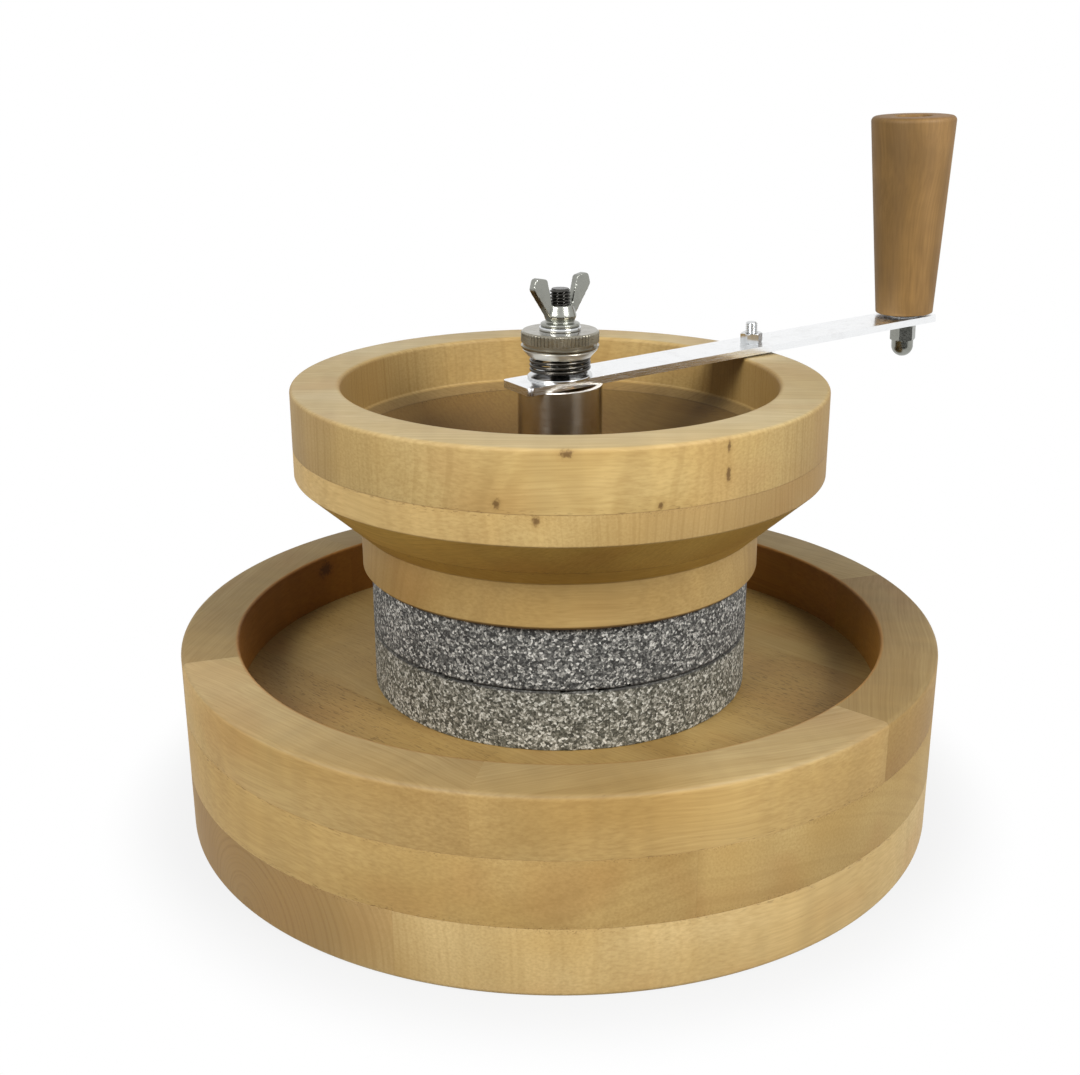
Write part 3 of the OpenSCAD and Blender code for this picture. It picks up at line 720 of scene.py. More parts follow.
def new_piece(name: str, shape: Shape, place: Matrix | None = None) -> Piece:
    """Makes an object from a shape.

    Args:
        name: Name of the piece.
        shape: The shape, which is used up.
        place: Where the shape goes, as a matrix in metres.

    Returns:
        The object, shaded smooth with sharp edges kept.
    """
    bmesh.ops.recalc_face_normals(shape, faces=shape.faces)
    if place:
        bmesh.ops.transform(shape, matrix=place, verts=shape.verts)
    mesh = bpy.data.meshes.new(name)
    shape.to_mesh(mesh)
    shape.free()
    mesh.polygons.foreach_set("use_smooth", [True] * len(mesh.polygons))
    mesh.set_sharp_from_angle(angle=math.radians(SHARP_DEG))
    piece = bpy.data.objects.new(name, mesh)
    bpy.context.scene.collection.objects.link(piece)
    return piece


def apply_modifiers(piece: Piece) -> None:
    """Gives a piece the mesh that its modifiers make of it.

    Args:
        piece: The piece, which keeps no modifier.
    """
    graph = bpy.context.evaluated_depsgraph_get()
    mesh = bpy.data.meshes.new_from_object(piece.evaluated_get(graph))
    piece.modifiers.clear()
    piece.data = mesh


def dress(piece: Piece, material: Material, slot: Slot, body: Body | None, node: str) -> None:
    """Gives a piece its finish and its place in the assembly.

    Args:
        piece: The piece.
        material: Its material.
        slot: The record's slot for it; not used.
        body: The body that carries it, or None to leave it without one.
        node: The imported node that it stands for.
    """
    piece.data.materials.clear()
    piece.data.materials.append(material)
    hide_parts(node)
    if body:
        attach(piece, body.value)
    LOG.info("%s stands for %s", piece.name, node)


def finish_node(node: str, material: Material, bevel_mm: float = 0.0) -> None:
    """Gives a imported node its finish.

    Args:
        node: Name of the node.
        material: Its material.
        bevel_mm: Width of the bevel that breaks its sharp edges, or 0.
    """
    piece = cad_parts[node]
    piece.data.materials.clear()
    piece.data.materials.append(material)
    if bevel_mm:
        weld = piece.modifiers.new("join_faces", "WELD")
        weld.merge_threshold = WELD
        bevel = piece.modifiers.new("broken_edges", "BEVEL")
        bevel.width = bevel_mm * MM
        bevel.segments = 2
        bevel.limit_method = "ANGLE"
        bevel.angle_limit = math.radians(BEVEL_DEG)
        bevel.harden_normals = True
    LOG.info("%s keeps its packed shape", node)


def heights(node: str) -> tuple[float, float]:
    """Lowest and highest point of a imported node, in millimetres."""
    low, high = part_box(node)
    return low.z / MM, high.z / MM


@dataclass(frozen=True)
class Segment:
    """What sets one rim segment apart: tone, warmth, the painted shade of its inner wall, a painted light
    fade and a knot.
    """

    tone: float
    warmth: float
    # Painted shade on the inner wall
    inside: str
    # Painted light fade along the segment
    painted_light_fade: Stops = ()
    knot: bool = False


@dataclass
class Tray:
    """The round tray: two boards and a rim of glued segments."""

    radius: float = 150.0
    rim_width: float = 22.0
    first_joint_deg: float = -13.5
    edge: float = 2.0
    inner_edge: float = 1.0
    hairline: float = 0.12
    pocket_radius: float = 13.5
    pocket_depth: float = 10.0
    hole_radius: float = 4.3
    wood: OiledBirch = OiledBirch()
    # Painted shade and sheen on the rim's top: darker and greyer than the outer wall
    top_painted_sheen_and_shade: str = "#dfe7fc"
    # Each segment's third value is painted shade on its inner wall; its stops are a painted light fade that
    # lights one end of the segment more than the other
    segments: tuple[Segment, ...] = (
        Segment(0.6, 0.22, "#ebc172"),
        Segment(0.62, 0.22, "#ebc172"),
        Segment(0.72, 0.22, "#ebc172", knot=True),
        Segment(1.04, 0.06, "#c8a45a", ((-75.0, "#fcfeff"), (75.0, "#d2c9b8"))),
        Segment(0.95, 0.06, "#c8a45a", (
            (-75.0, "#e1dbce"), (-20.0, "#ebe5d8"), (10.0, WHITE), (75.0, "#e9e5dc"))),
        Segment(0.59, 0.28, "#ffe07a", ((-75.0, "#fffaf0"), (40.0, "#efeae5"))))

    def board(self, part: str, foot_edge: float, pocket: bool, lay: Lay) -> None:
        """Turns one board and dresses it.

        Args:
            part: Which board, as its names say.
            foot_edge: Rounding of its lower edge.
            pocket: Whether it has the hole and the pocket for the foot nut.
            lay: How it was cut.
        """
        node = f"tray_{part}_board"
        low, high = heights(node)
        middle = [Corner(0.0, high), Corner(0.0, low)]
        if pocket:
            shoulder = low + self.pocket_depth
            middle = [Corner(self.hole_radius, high), Corner(self.hole_radius, shoulder),
                      Corner(self.pocket_radius, shoulder), Corner(self.pocket_radius, low)]
        outline = rounded(
            Corner(self.radius, low, foot_edge), Corner(self.radius, high, self.hairline), *middle)
        piece = new_piece(f"turned_{part}_board", lathe(outline))
        dress(piece, self.wood.make(f"oiled_birch_{part}", lay), Slot.WOOD, Body.BASE, node)

    def rim(self, inside: float) -> None:
        """Turns the rim's segments, each with its own cut of wood.

        Args:
            inside: Inner radius of the rim.
        """
        low, high = heights("tray_rim_segment_1")
        count = len(self.segments)
        sweep = 360 / count
        outline = rounded(
            Corner(inside, low), Corner(self.radius, low, self.hairline),
            Corner(self.radius, high, self.edge), Corner(inside, high, self.inner_edge))
        for i, segment in enumerate(self.segments):
            start = self.first_joint_deg + sweep * i
            grain = start + sweep / 2 + 90
            # Painted shade on the inner wall and painted shade and sheen on the top; the outer wall keeps the
            # wood's own colour
            lay = Lay(
                grain, 3.0 + i, (-300.0, -140.0), segment.tone, segment.warmth, glue_lines=(low,),
                painted_shade_and_sheen=((inside + 0.3, segment.inside), (inside + 1.5, self.top_painted_sheen_and_shade),
                        (self.radius - 0.5, self.top_painted_sheen_and_shade), (self.radius, WHITE)),
                painted_light_fade=segment.painted_light_fade, painted_light_fade_deg=grain,
                knots=(Knot(113.7, high - 6.4, inside, 4.5, 0.8),) if segment.knot else ())
            piece = new_piece(
                f"turned_rim_segment_{i + 1}", lathe(outline, LATHE_STEPS // count, start, sweep))
            dress(piece, self.wood.make(f"oiled_birch_rim_{i + 1}", lay),
                  Slot.WOOD, Body.BASE, f"tray_rim_segment_{i + 1}")

    def build(self) -> None:
        """Builds the boards and the rim."""
        inside = self.radius - self.rim_width
        # The bottom board's fade is painted light, lighter in its middle than at its two ends
        self.board("bottom", self.edge, False, Lay(
            6.0, 1.0, (-6.0, 6.0), 1.03, -0.14, plank=130.0, joint=-75.0, end_share=0.85, end_from=0.78,
            painted_light_fade=((20.0, "#f4f2ec"), (78.0, WHITE), (128.0, "#f2f2f0")), ring_share=0.14, ring_mm=1.7,
            glue_lines=heights("tray_bottom_board")[1:]))
        # The floor board's inside gets painted shade, and its fade is painted light across it
        self.board("floor", self.hairline, True, Lay(
            104.0, 2.0, (30.0, -120.0), 0.92, 0.1, plank=150.0, joint=73.6, end_share=0.15,
            painted_shade_and_sheen=((inside, "#dcdacf"), (self.radius - 1.0, WHITE)),
            painted_light_fade=((-110.0, WHITE), (42.0, "#e3dfd3"), (48.0, "#f8f9f8"), (130.0, "#eaeae0")),
            glue_lines=heights("tray_floor_board")))
        self.rim(inside)


@dataclass
class Stones:
    """The bed stone and the runner stone with their dressed grinding faces."""

    radius: float = 75.0
    eye_radius: float = 34.0
    hole_radius: float = 4.3
    clamp_radius: float = 15.3
    clamp_depth: float = 2.5
    harps: int = 8
    furrow_width: float = 5.0
    furrow_depth: float = 1.2
    furrow_draft: float = 16.0
    furrow_pitch: float = 13.0
    rynd_width: float = 10.1
    rynd_reach: float = 50.05
    rynd_depth: float = 4.0
    rynd_arms: int = 4
    edge: float = 0.5
    chip: float = 0.55
    chips_per_mm: float = 0.22
    chip_reach: float = 0.8
    pits_per_mm: float = 0.5
    pit_share: float = 0.12
    level_mm: float = 1.5
    steps: int = 320
    spare: float = 1.0
    warm: DressedGranite = DressedGranite((
        (0.2, "#323129"), (0.4, "#57564b"), (0.56, "#737166"), (0.72, "#9f9d92"), (0.86, "#d0cfc6")))
    cool: DressedGranite = DressedGranite((
        (0.22, "#20201f"), (0.42, "#474745"), (0.58, "#666662"), (0.74, "#979690"), (0.88, "#d5d4ce")))

    def stone(self, name: str, low: float, high: float, *middle: Corner) -> Piece:
        """Turns a stone and knocks small chips off its rims.

        Args:
            name: Name of the piece.
            low: Height of its underside.
            high: Height of its top.
            middle: Corners of its section round the axis, from the top down.

        Returns:
            The stone.
        """
        count = round((high - low) / self.level_mm)
        wall = [Corner(self.radius, low + (high - low) * k / count) for k in range(1, count)]
        shape = lathe(rounded(
            Corner(self.radius, low, self.edge), *wall, Corner(self.radius, high, self.edge), *middle),
            self.steps)
        for vert in shape.verts:
            reach = math.hypot(vert.co.x, vert.co.y)
            if reach < (self.radius - 2 * self.edge) * MM:
                continue
            place = vert.co / MM
            near_rim = math.exp(-min(place.z - low, high - place.z) / self.chip_reach)
            chips = max(0.0, noise.noise(place * self.chips_per_mm)) * near_rim
            pits = self.pit_share * (1 + noise.noise(place * self.pits_per_mm))
            vert.co.xy *= 1 - self.chip * (chips + pits) * MM / reach
        return new_piece(name, shape)

    def furrows(self, face: float, upwards: bool) -> Shape:
        """Cutters for the furrows of one grinding face.

        Args:
            face: Height of the face in millimetres.
            upwards: Whether the face looks up.

        Returns:
            The cutters, in metres.
        """
        shape = bmesh.new()
        start = math.sqrt(self.eye_radius ** 2 - self.furrow_draft ** 2)
        flip = Matrix.Translation((0, 0, face)) @ Matrix.Rotation(0 if upwards else math.pi, 4, "X")
        for k in range(self.harps):
            place = flip @ Matrix.Rotation(2 * math.pi * k / self.harps, 4, "Z")
            for shift in (0.0, self.furrow_pitch):
                near = self.furrow_draft + shift
                far = near + self.furrow_width
                section = [(near, -self.furrow_depth), (far, 0.0), (far, self.spare), (near, self.spare)]
                loft(shape, [[place @ Vector((at, *point)) for point in section]
                             for at in (start + shift, 2 * self.radius)])
        return shape

    def cut(self, stone: Piece, cutters: Shape) -> None:
        """Cuts the cutters out of a stone and throws them away.

        Args:
            stone: The stone.
            cutters: The shapes to cut, which are used up.
        """
        tool = new_piece("cutter", cutters)
        boolean = stone.modifiers.new("dressing", "BOOLEAN")
        boolean.operation = "DIFFERENCE"
        boolean.solver = "EXACT"
        boolean.use_self = True
        boolean.object = tool
        apply_modifiers(stone)
        stone.data.set_sharp_from_angle(angle=math.radians(SHARP_DEG))
        bpy.data.objects.remove(tool)

    def build(self) -> None:
        """Builds both stones."""
        low, high = heights("bed_stone")
        seat = high - self.clamp_depth
        bed = self.stone(
            "dressed_bed_stone", low, high, Corner(self.clamp_radius, high), Corner(self.clamp_radius, seat),
            Corner(self.hole_radius, seat), Corner(self.hole_radius, low))
        self.cut(bed, self.furrows(high, True))
        dress(bed, self.warm.make("dressed_granite_bed", high), Slot.BED, Body.BASE, "bed_stone")
        low, high = heights("runner_stone")
        runner = self.stone(
            "dressed_runner_stone", low, high, Corner(self.eye_radius, high), Corner(self.eye_radius, low))
        cutters = self.furrows(low, False)
        size = Matrix.Diagonal((self.rynd_reach, self.rynd_width, 2 * self.rynd_depth, 1))
        arm = Matrix.Translation((self.rynd_reach / 2, 0, high)) @ size
        for k in range(self.rynd_arms):
            turn = Matrix.Rotation(math.pi / 4 + 2 * math.pi * k / self.rynd_arms, 4, "Z")
            bmesh.ops.create_cube(cutters, size=1.0, matrix=Matrix.Scale(MM, 4) @ turn @ arm)
        self.cut(runner, cutters)
        dress(runner, self.cool.make("dressed_granite_runner", low),
              Slot.RUNNER, Body.RUNNER, "runner_stone")


@dataclass
class Hopper:
    """The wooden hopper: neck, funnel and rim, three rings glued and turned as one."""

    radius: float = 103.0
    rim_width: float = 19.0
    neck_radius: float = 78.3
    neck_chamfer: float = 1.4
    band: float = 17.5
    cone: float = 22.4
    well: float = 18.6
    throat: float = 14.5
    throat_radius: float = 36.0
    edge: float = 1.6
    soft: float = 0.8
    chamfer_edge: float = 0.6
    cone_foot: float = 0.5
    hairline: float = 0.1
    grain_deg: float = -32.6
    wood: OiledBirch = OiledBirch()
    # Painted shade on the cone's underside, under the hopper's overhang, warm like light bounced off the tray
    underside_painted_shade: str = "#fff3b8"
    # Painted sheen that greys the rim's top
    top_painted_sheen_and_shade: str = "#f2f7ff"

    def ring(self, part: str, outline: Sequence[Vector], lay: Lay) -> None:
        """Turns one ring and dresses it.

        Args:
            part: Which ring, as its names say.
            outline: Its section.
            lay: How it was cut.
        """
        piece = new_piece(f"turned_hopper_{part}", lathe(outline))
        dress(piece, self.wood.make(f"oiled_birch_hopper_{part}", lay),
              Slot.WOOD, Body.RUNNER, f"hopper_{part}_ring")

    def build(self) -> None:
        """Builds the three rings."""
        neck_low, neck_high = heights("hopper_neck_ring")
        funnel_low, funnel_high = heights("hopper_funnel_ring")
        top = heights("hopper_rim_ring")[1]
        inner = self.radius - self.rim_width
        throat_top = neck_low + self.throat
        cone_low = neck_low + self.band

        def outside(z: float) -> float:
            """Radius of the cone outside at a height."""
            return self.neck_radius + (self.radius - self.neck_radius) * (z - cone_low) / self.cone

        def inside(z: float) -> float:
            """Radius of the funnel inside at a height."""
            share = (z - throat_top) / (top - self.well - throat_top)
            return self.throat_radius + (inner - self.throat_radius) * share

        # Neck: painted shade darkens its inside, a painted dark line sits at its chamfer where it meets the
        # stone, and the start of the cone gets the cone's painted shade. Its lower tone is partly its own
        # wood and partly painted shade under the hopper's overhang.
        self.ring("neck", rounded(
            Corner(self.throat_radius, neck_low), Corner(self.neck_radius - self.neck_chamfer, neck_low),
            Corner(self.neck_radius, neck_low + self.neck_chamfer, self.chamfer_edge),
            Corner(self.neck_radius, cone_low, self.cone_foot),
            Corner(outside(neck_high), neck_high, self.hairline), Corner(inside(neck_high), neck_high),
            Corner(self.throat_radius, throat_top, self.soft),
        ), Lay(
            self.grain_deg + 8, 11.0, (-300.0, 40.0), 0.75, 0.14, glue_lines=(neck_high,),
            painted_shade_and_sheen=((self.throat_radius, "#89795e"), (inner - 20.0, "#aa9e81"),
                    (self.neck_radius - self.neck_chamfer, "#75654b"), (self.neck_radius - 0.1, WHITE),
                    (self.neck_radius + 0.3, WHITE), (self.neck_radius + 1.0, self.underside_painted_shade))))
        # Funnel: painted shade darkens its inside towards the throat and the underside of the cone, and a
        # painted light fade runs across it
        self.ring("funnel", rounded(
            Corner(inside(funnel_low), funnel_low), Corner(outside(funnel_low), funnel_low, self.hairline),
            Corner(self.radius, cone_low + self.cone, self.soft),
            Corner(self.radius, funnel_high, self.hairline), Corner(inside(funnel_high), funnel_high),
        ), Lay(
            self.grain_deg - 42, 12.0, (-900.0, 130.0), 1.0, 0.0, ring_share=0.18, ring_mm=1.3,
            glue_lines=(funnel_low, funnel_high), glue_share=0.4,
            painted_shade_and_sheen=((self.throat_radius, "#766745"), (inner - 1.2, "#938661"), (inner + 1.0, self.underside_painted_shade),
                    (self.radius - 0.8, self.underside_painted_shade), (self.radius - 0.1, WHITE)),
            painted_light_fade=((-60.0, WHITE), (10.0, "#ebeae1"), (45.0, "#fafbfa"), (95.0, "#dfddd9")),
            knots=(Knot(-126.9, funnel_high - 2.0, self.radius, 1.3, 1.4),)))
        # Rim: painted shade darkens its inner wall, painted sheen greys its top, and a painted light fade
        # darkens its left and right flanks
        self.ring("rim", rounded(
            Corner(inside(funnel_high), funnel_high), Corner(self.radius, funnel_high, self.hairline),
            Corner(self.radius, top, self.edge), Corner(inner, top, self.edge),
            Corner(inner, top - self.well, self.soft),
        ), Lay(
            self.grain_deg, 13.0, (-900.0, 150.0), 0.99, -0.28, ring_share=0.22, ring_mm=1.3,
            glue_lines=(funnel_high,), glue_share=0.4,
            painted_shade_and_sheen=((self.throat_radius, "#89795e"), (inner - 1.2, "#aa9e81"), (inner - 0.2, "#e4d9b8"),
                    (inner + 0.3, "#e4d9b8"), (inner + 2.0, self.top_painted_sheen_and_shade),
                    (self.radius - 1.2, self.top_painted_sheen_and_shade), (self.radius - 0.1, "#f9f2d9")),
            painted_light_fade=((-95.0, "#eeeef1"), (45.0, WHITE), (95.0, "#e9e8e5")),
            knots=(Knot(-121.5, top - 1.6, self.radius, 2.4, 0.6),
                   Knot(-134.2, top - 19.1, self.radius, 1.3, 1.4),
                   Knot(-103.9, top - 20.5, self.radius, 1.1, 1.3),
                   Knot(-89.7, top - 3.5, self.radius, 0.8, 2.4),
                   Knot(-89.6, top - 13.2, self.radius, 1.0, 2.8))))


def hexagon(across_flats: float, land: float, near_face: float, angle: float) -> float:
    """Radius of a hexagonal nut with chamfered faces.

    Args:
        across_flats: Width of the hexagon.
        land: How far its round face reaches past the flats.
        near_face: Height to the nearer face.
        angle: Angle round it, in radians.

    Returns:
        The radius there.
    """
    side = across_flats / 2 / math.cos((angle + math.pi / 6) % (math.pi / 3) - math.pi / 6)
    return min(side, across_flats / 2 + land + CHAMFER_SLOPE * near_face)


def thread(major: float, pitch: float, z: float, angle: float) -> float:
    """Radius of a rounded V thread.

    Args:
        major: Outside radius.
        pitch: Height of one turn.
        z: Height on the thread.
        angle: Angle round it, in radians.

    Returns:
        The radius there.
    """
    turn = (z / pitch - angle / (2 * math.pi)) % 1.0
    return major - THREAD_DEPTH * pitch * (0.5 + 0.5 * math.cos(2 * math.pi * turn)) ** THREAD_ROUNDING


def steps_between(low: float, high: float, step: float) -> list[float]:
    """Heights from low to high about a step apart."""
    count = max(1, round((high - low) / step))
    return [low + (high - low) * k / count for k in range(count + 1)]


@dataclass
class Crank:
    """The flat bar with its stud, the handle and their hardware.

    A washer's sizes are its radius, the radius of its hole and its thickness.
    """

    zinc: Material
    cast: Material
    rise_deg: float = 2.06
    bar: float = 3.0
    bar_bevel: float = 0.35
    reach: float = 183.0
    stud_at: float = 95.0
    stud_radius: float = 2.5
    stud_pitch: float = 0.8
    stud_depth: float = 16.0
    stud_proud: float = 8.5
    stud_taper: float = 0.6
    stud_steps: int = 32
    nut_flats: float = 8.0
    nut_height: float = 4.0
    nut_land: float = 0.1
    nut_steps: int = 96
    chamfer_step: float = 0.15
    stud_washer: Sizes = (5.0, 2.8, 1.0)
    handle_washer: Sizes = (6.5, 3.3, 1.2)
    thrust_washer: Sizes = (12.5, 4.5, 1.0)
    washer_edges: Sizes = (0.2, 0.3, 0.15)
    washer_steps: int = 72
    play: float = 0.2
    grip_length: float = 84.5
    grip_top: float = 18.1
    grip_foot: float = 12.5
    grip_bore: float = 4.8
    grip_edges: Sizes = (0.4, 2.0, 0.5)
    grip_steps: int = 120
    counterbore_radius: float = 8.0
    counterbore_depth: float = 10.0
    cap_flats: float = 10.0
    cap_height: float = 14.5
    cap_hex: float = 7.0
    cap_dome: float = 4.8
    cap_land: float = 0.15
    cap_tip: float = 0.1
    dome_step_deg: float = 6.0
    wall_step: float = 0.5
    tube_radius: float = 16.5
    tube_wall: float = 2.0
    tube_edge: float = 0.3
    tube_steps: int = 144

    @property
    def rise(self) -> float:
        """Slope of the bar in radians."""
        return math.radians(self.rise_deg)

    def on_bar(self, along: float, above: float) -> Matrix:
        """A place on the bar.

        Args:
            along: Level distance from the spindle, in millimetres.
            above: Height over the bar's underside, in millimetres.

        Returns:
            The place as a matrix in metres.
        """
        radius, _, thick = self.stud_washer
        rim_top = heights("hopper_rim_ring")[1]
        inner_edge = self.stud_at / math.cos(self.rise) - radius
        foot = rim_top + thick * math.cos(self.rise) - inner_edge * math.sin(self.rise)
        place = Matrix.Translation((along / math.cos(self.rise) * MM, 0, above * MM))
        return Matrix.Translation((0, 0, foot * MM)) @ Matrix.Rotation(-self.rise, 4, "Y") @ place

    def washers(self) -> None:
        """Presses the washers, with softened edges."""
        foot_edge, top_edge, hole_edge = self.washer_edges
        for part, node, size, along, above in (
            ("stud", "arm_stud_washer", self.stud_washer, self.stud_at, -self.stud_washer[2]),
            ("seat", "handle_seat_washer", self.handle_washer, self.reach, self.bar),
            ("nut", "handle_nut_washer", self.handle_washer, self.reach, -self.handle_washer[2]),
            ("thrust", "thrust_washer", self.thrust_washer, 0.0, self.bar),
        ):
            radius, hole, thick = size
            shape = lathe(rounded(
                Corner(hole, 0), Corner(radius, 0, foot_edge), Corner(radius, thick, top_edge),
                Corner(hole, thick, hole_edge)), self.washer_steps)
            piece = new_piece(f"pressed_{part}_washer", shape, self.on_bar(along, above))
            dress(piece, self.zinc, Slot.ZINC, Body.RUNNER, node)

    def stud(self) -> None:
        """Cuts the stud, with a lead-in at its top, and its nut."""
        low = -self.stud_washer[2] - self.stud_depth
        high = self.bar + self.stud_proud
        tip = self.stud_radius - self.stud_taper
        stud = turned(
            steps_between(low, high, self.stud_pitch / THREAD_CUTS),
            lambda z, a: min(thread(self.stud_radius, self.stud_pitch, z, a), tip + (high - z)),
            self.stud_steps)
        piece = new_piece("threaded_stud", stud, self.on_bar(self.stud_at, 0))
        dress(piece, self.zinc, Slot.ZINC, Body.RUNNER, "arm_stud")
        nut = turned(
            steps_between(0, self.nut_height, self.chamfer_step),
            lambda z, a: hexagon(self.nut_flats, self.nut_land, min(z, self.nut_height - z), a),
            self.nut_steps, self.stud_radius + THREAD_PLAY)
        piece = new_piece("chamfered_stud_nut", nut, self.on_bar(self.stud_at, self.bar))
        dress(piece, self.zinc, Slot.ZINC, Body.RUNNER, "arm_stud_nut")

    def cap_nut(self) -> None:
        """Casts the cap nut: a dome below and a hexagon above."""
        hex_foot = self.cap_height - self.cap_hex

        def radius(z: float, angle: float) -> float:
            """Radius of the nut.

            Args:
                z: Height over the dome's tip.
                angle: Angle round it, in radians.

            Returns:
                The radius there.
            """
            if z < hex_foot:
                drop = max(0.0, self.cap_dome - z)
                return math.sqrt(max(self.cap_tip ** 2, self.cap_dome ** 2 - drop ** 2))
            near_face = min(z - hex_foot, self.cap_height - z)
            return max(self.cap_dome, hexagon(self.cap_flats, self.cap_land, near_face, angle))

        rings = round(90 / self.dome_step_deg) + 1
        dome = [self.cap_dome * (1 - math.cos(math.radians(self.dome_step_deg * k))) for k in range(rings)]
        wall = steps_between(self.cap_dome + self.play, hex_foot - JUST_OFF, self.wall_step)
        hexes = steps_between(hex_foot, self.cap_height, self.chamfer_step)
        place = self.on_bar(self.reach, -self.handle_washer[2] - self.cap_height)
        piece = new_piece("domed_cap_nut", turned(dome + wall + hexes, radius, self.nut_steps), place)
        dress(piece, self.cast, Slot.ZINC, Body.RUNNER, "handle_cap_nut")

    def tube(self) -> None:
        """Cuts the drive tube, with its top sloped to the bar."""
        low = heights("drive_tube")[0]
        top = self.on_bar(0, 0).translation.z / MM
        inner = self.tube_radius - self.tube_wall
        tube = lathe(rounded(
            Corner(inner, low), Corner(self.tube_radius, low, self.tube_edge),
            Corner(self.tube_radius, top), Corner(inner, top)), self.tube_steps)
        for vert in tube.verts:
            if vert.co.z > (top - JUST_OFF) * MM:
                vert.co.z += vert.co.x * math.tan(self.rise)
        piece = new_piece("polished_drive_tube", tube)
        dress(piece, TUBE.make(), Slot.TUBE, Body.RUNNER, "drive_tube")

    def grip(self) -> None:
        """Turns the wooden grip, of browner wood than the rest."""
        hole, end = self.counterbore_radius, self.grip_length
        seat = end - self.counterbore_depth
        foot_edge, top_edge, hole_edge = self.grip_edges
        outline = rounded(
            Corner(self.grip_bore, 0), Corner(self.grip_foot, 0, foot_edge),
            Corner(self.grip_top, end, top_edge), Corner(hole, end, hole_edge), Corner(hole, seat),
            Corner(self.grip_bore, seat))
        wood = OiledBirch(
            pale="#93744a", honey="#7c6038", ring_line="#684e2d", end_grain="#6e5231", blush="#876438",
            clouds=Mark(16.0, 40.0, 2.0, (0.3, 0.7)),
            curls=Mark(16.0, 9.0, 1.0, (0.3, 0.7), (0.95, 1.05), Onset.EVEN))
        # The fade is painted shade on the grip's left side as the camera sees it
        lay = Lay(0.0, 21.0, (190.0, 14.0), 1.06, 0.26, upright=True,
                  painted_light_fade=((139.0, "#dcdac6"), (160.0, WHITE)))
        place = self.on_bar(self.reach, self.bar + self.handle_washer[2] + self.play)
        piece = new_piece("turned_grip", lathe(outline, self.grip_steps), place)
        dress(piece, wood.make("oiled_birch_grip", lay), Slot.HANDLE, Body.GRIP, "grip")

    def build(self) -> None:
        """Finishes the bar and builds its fittings, the tube below it and the grip."""
        finish_node("crank_arm", ROLLED.make(), self.bar_bevel)
        self.washers()
        self.stud()
        self.cap_nut()
        self.tube()
        self.grip()


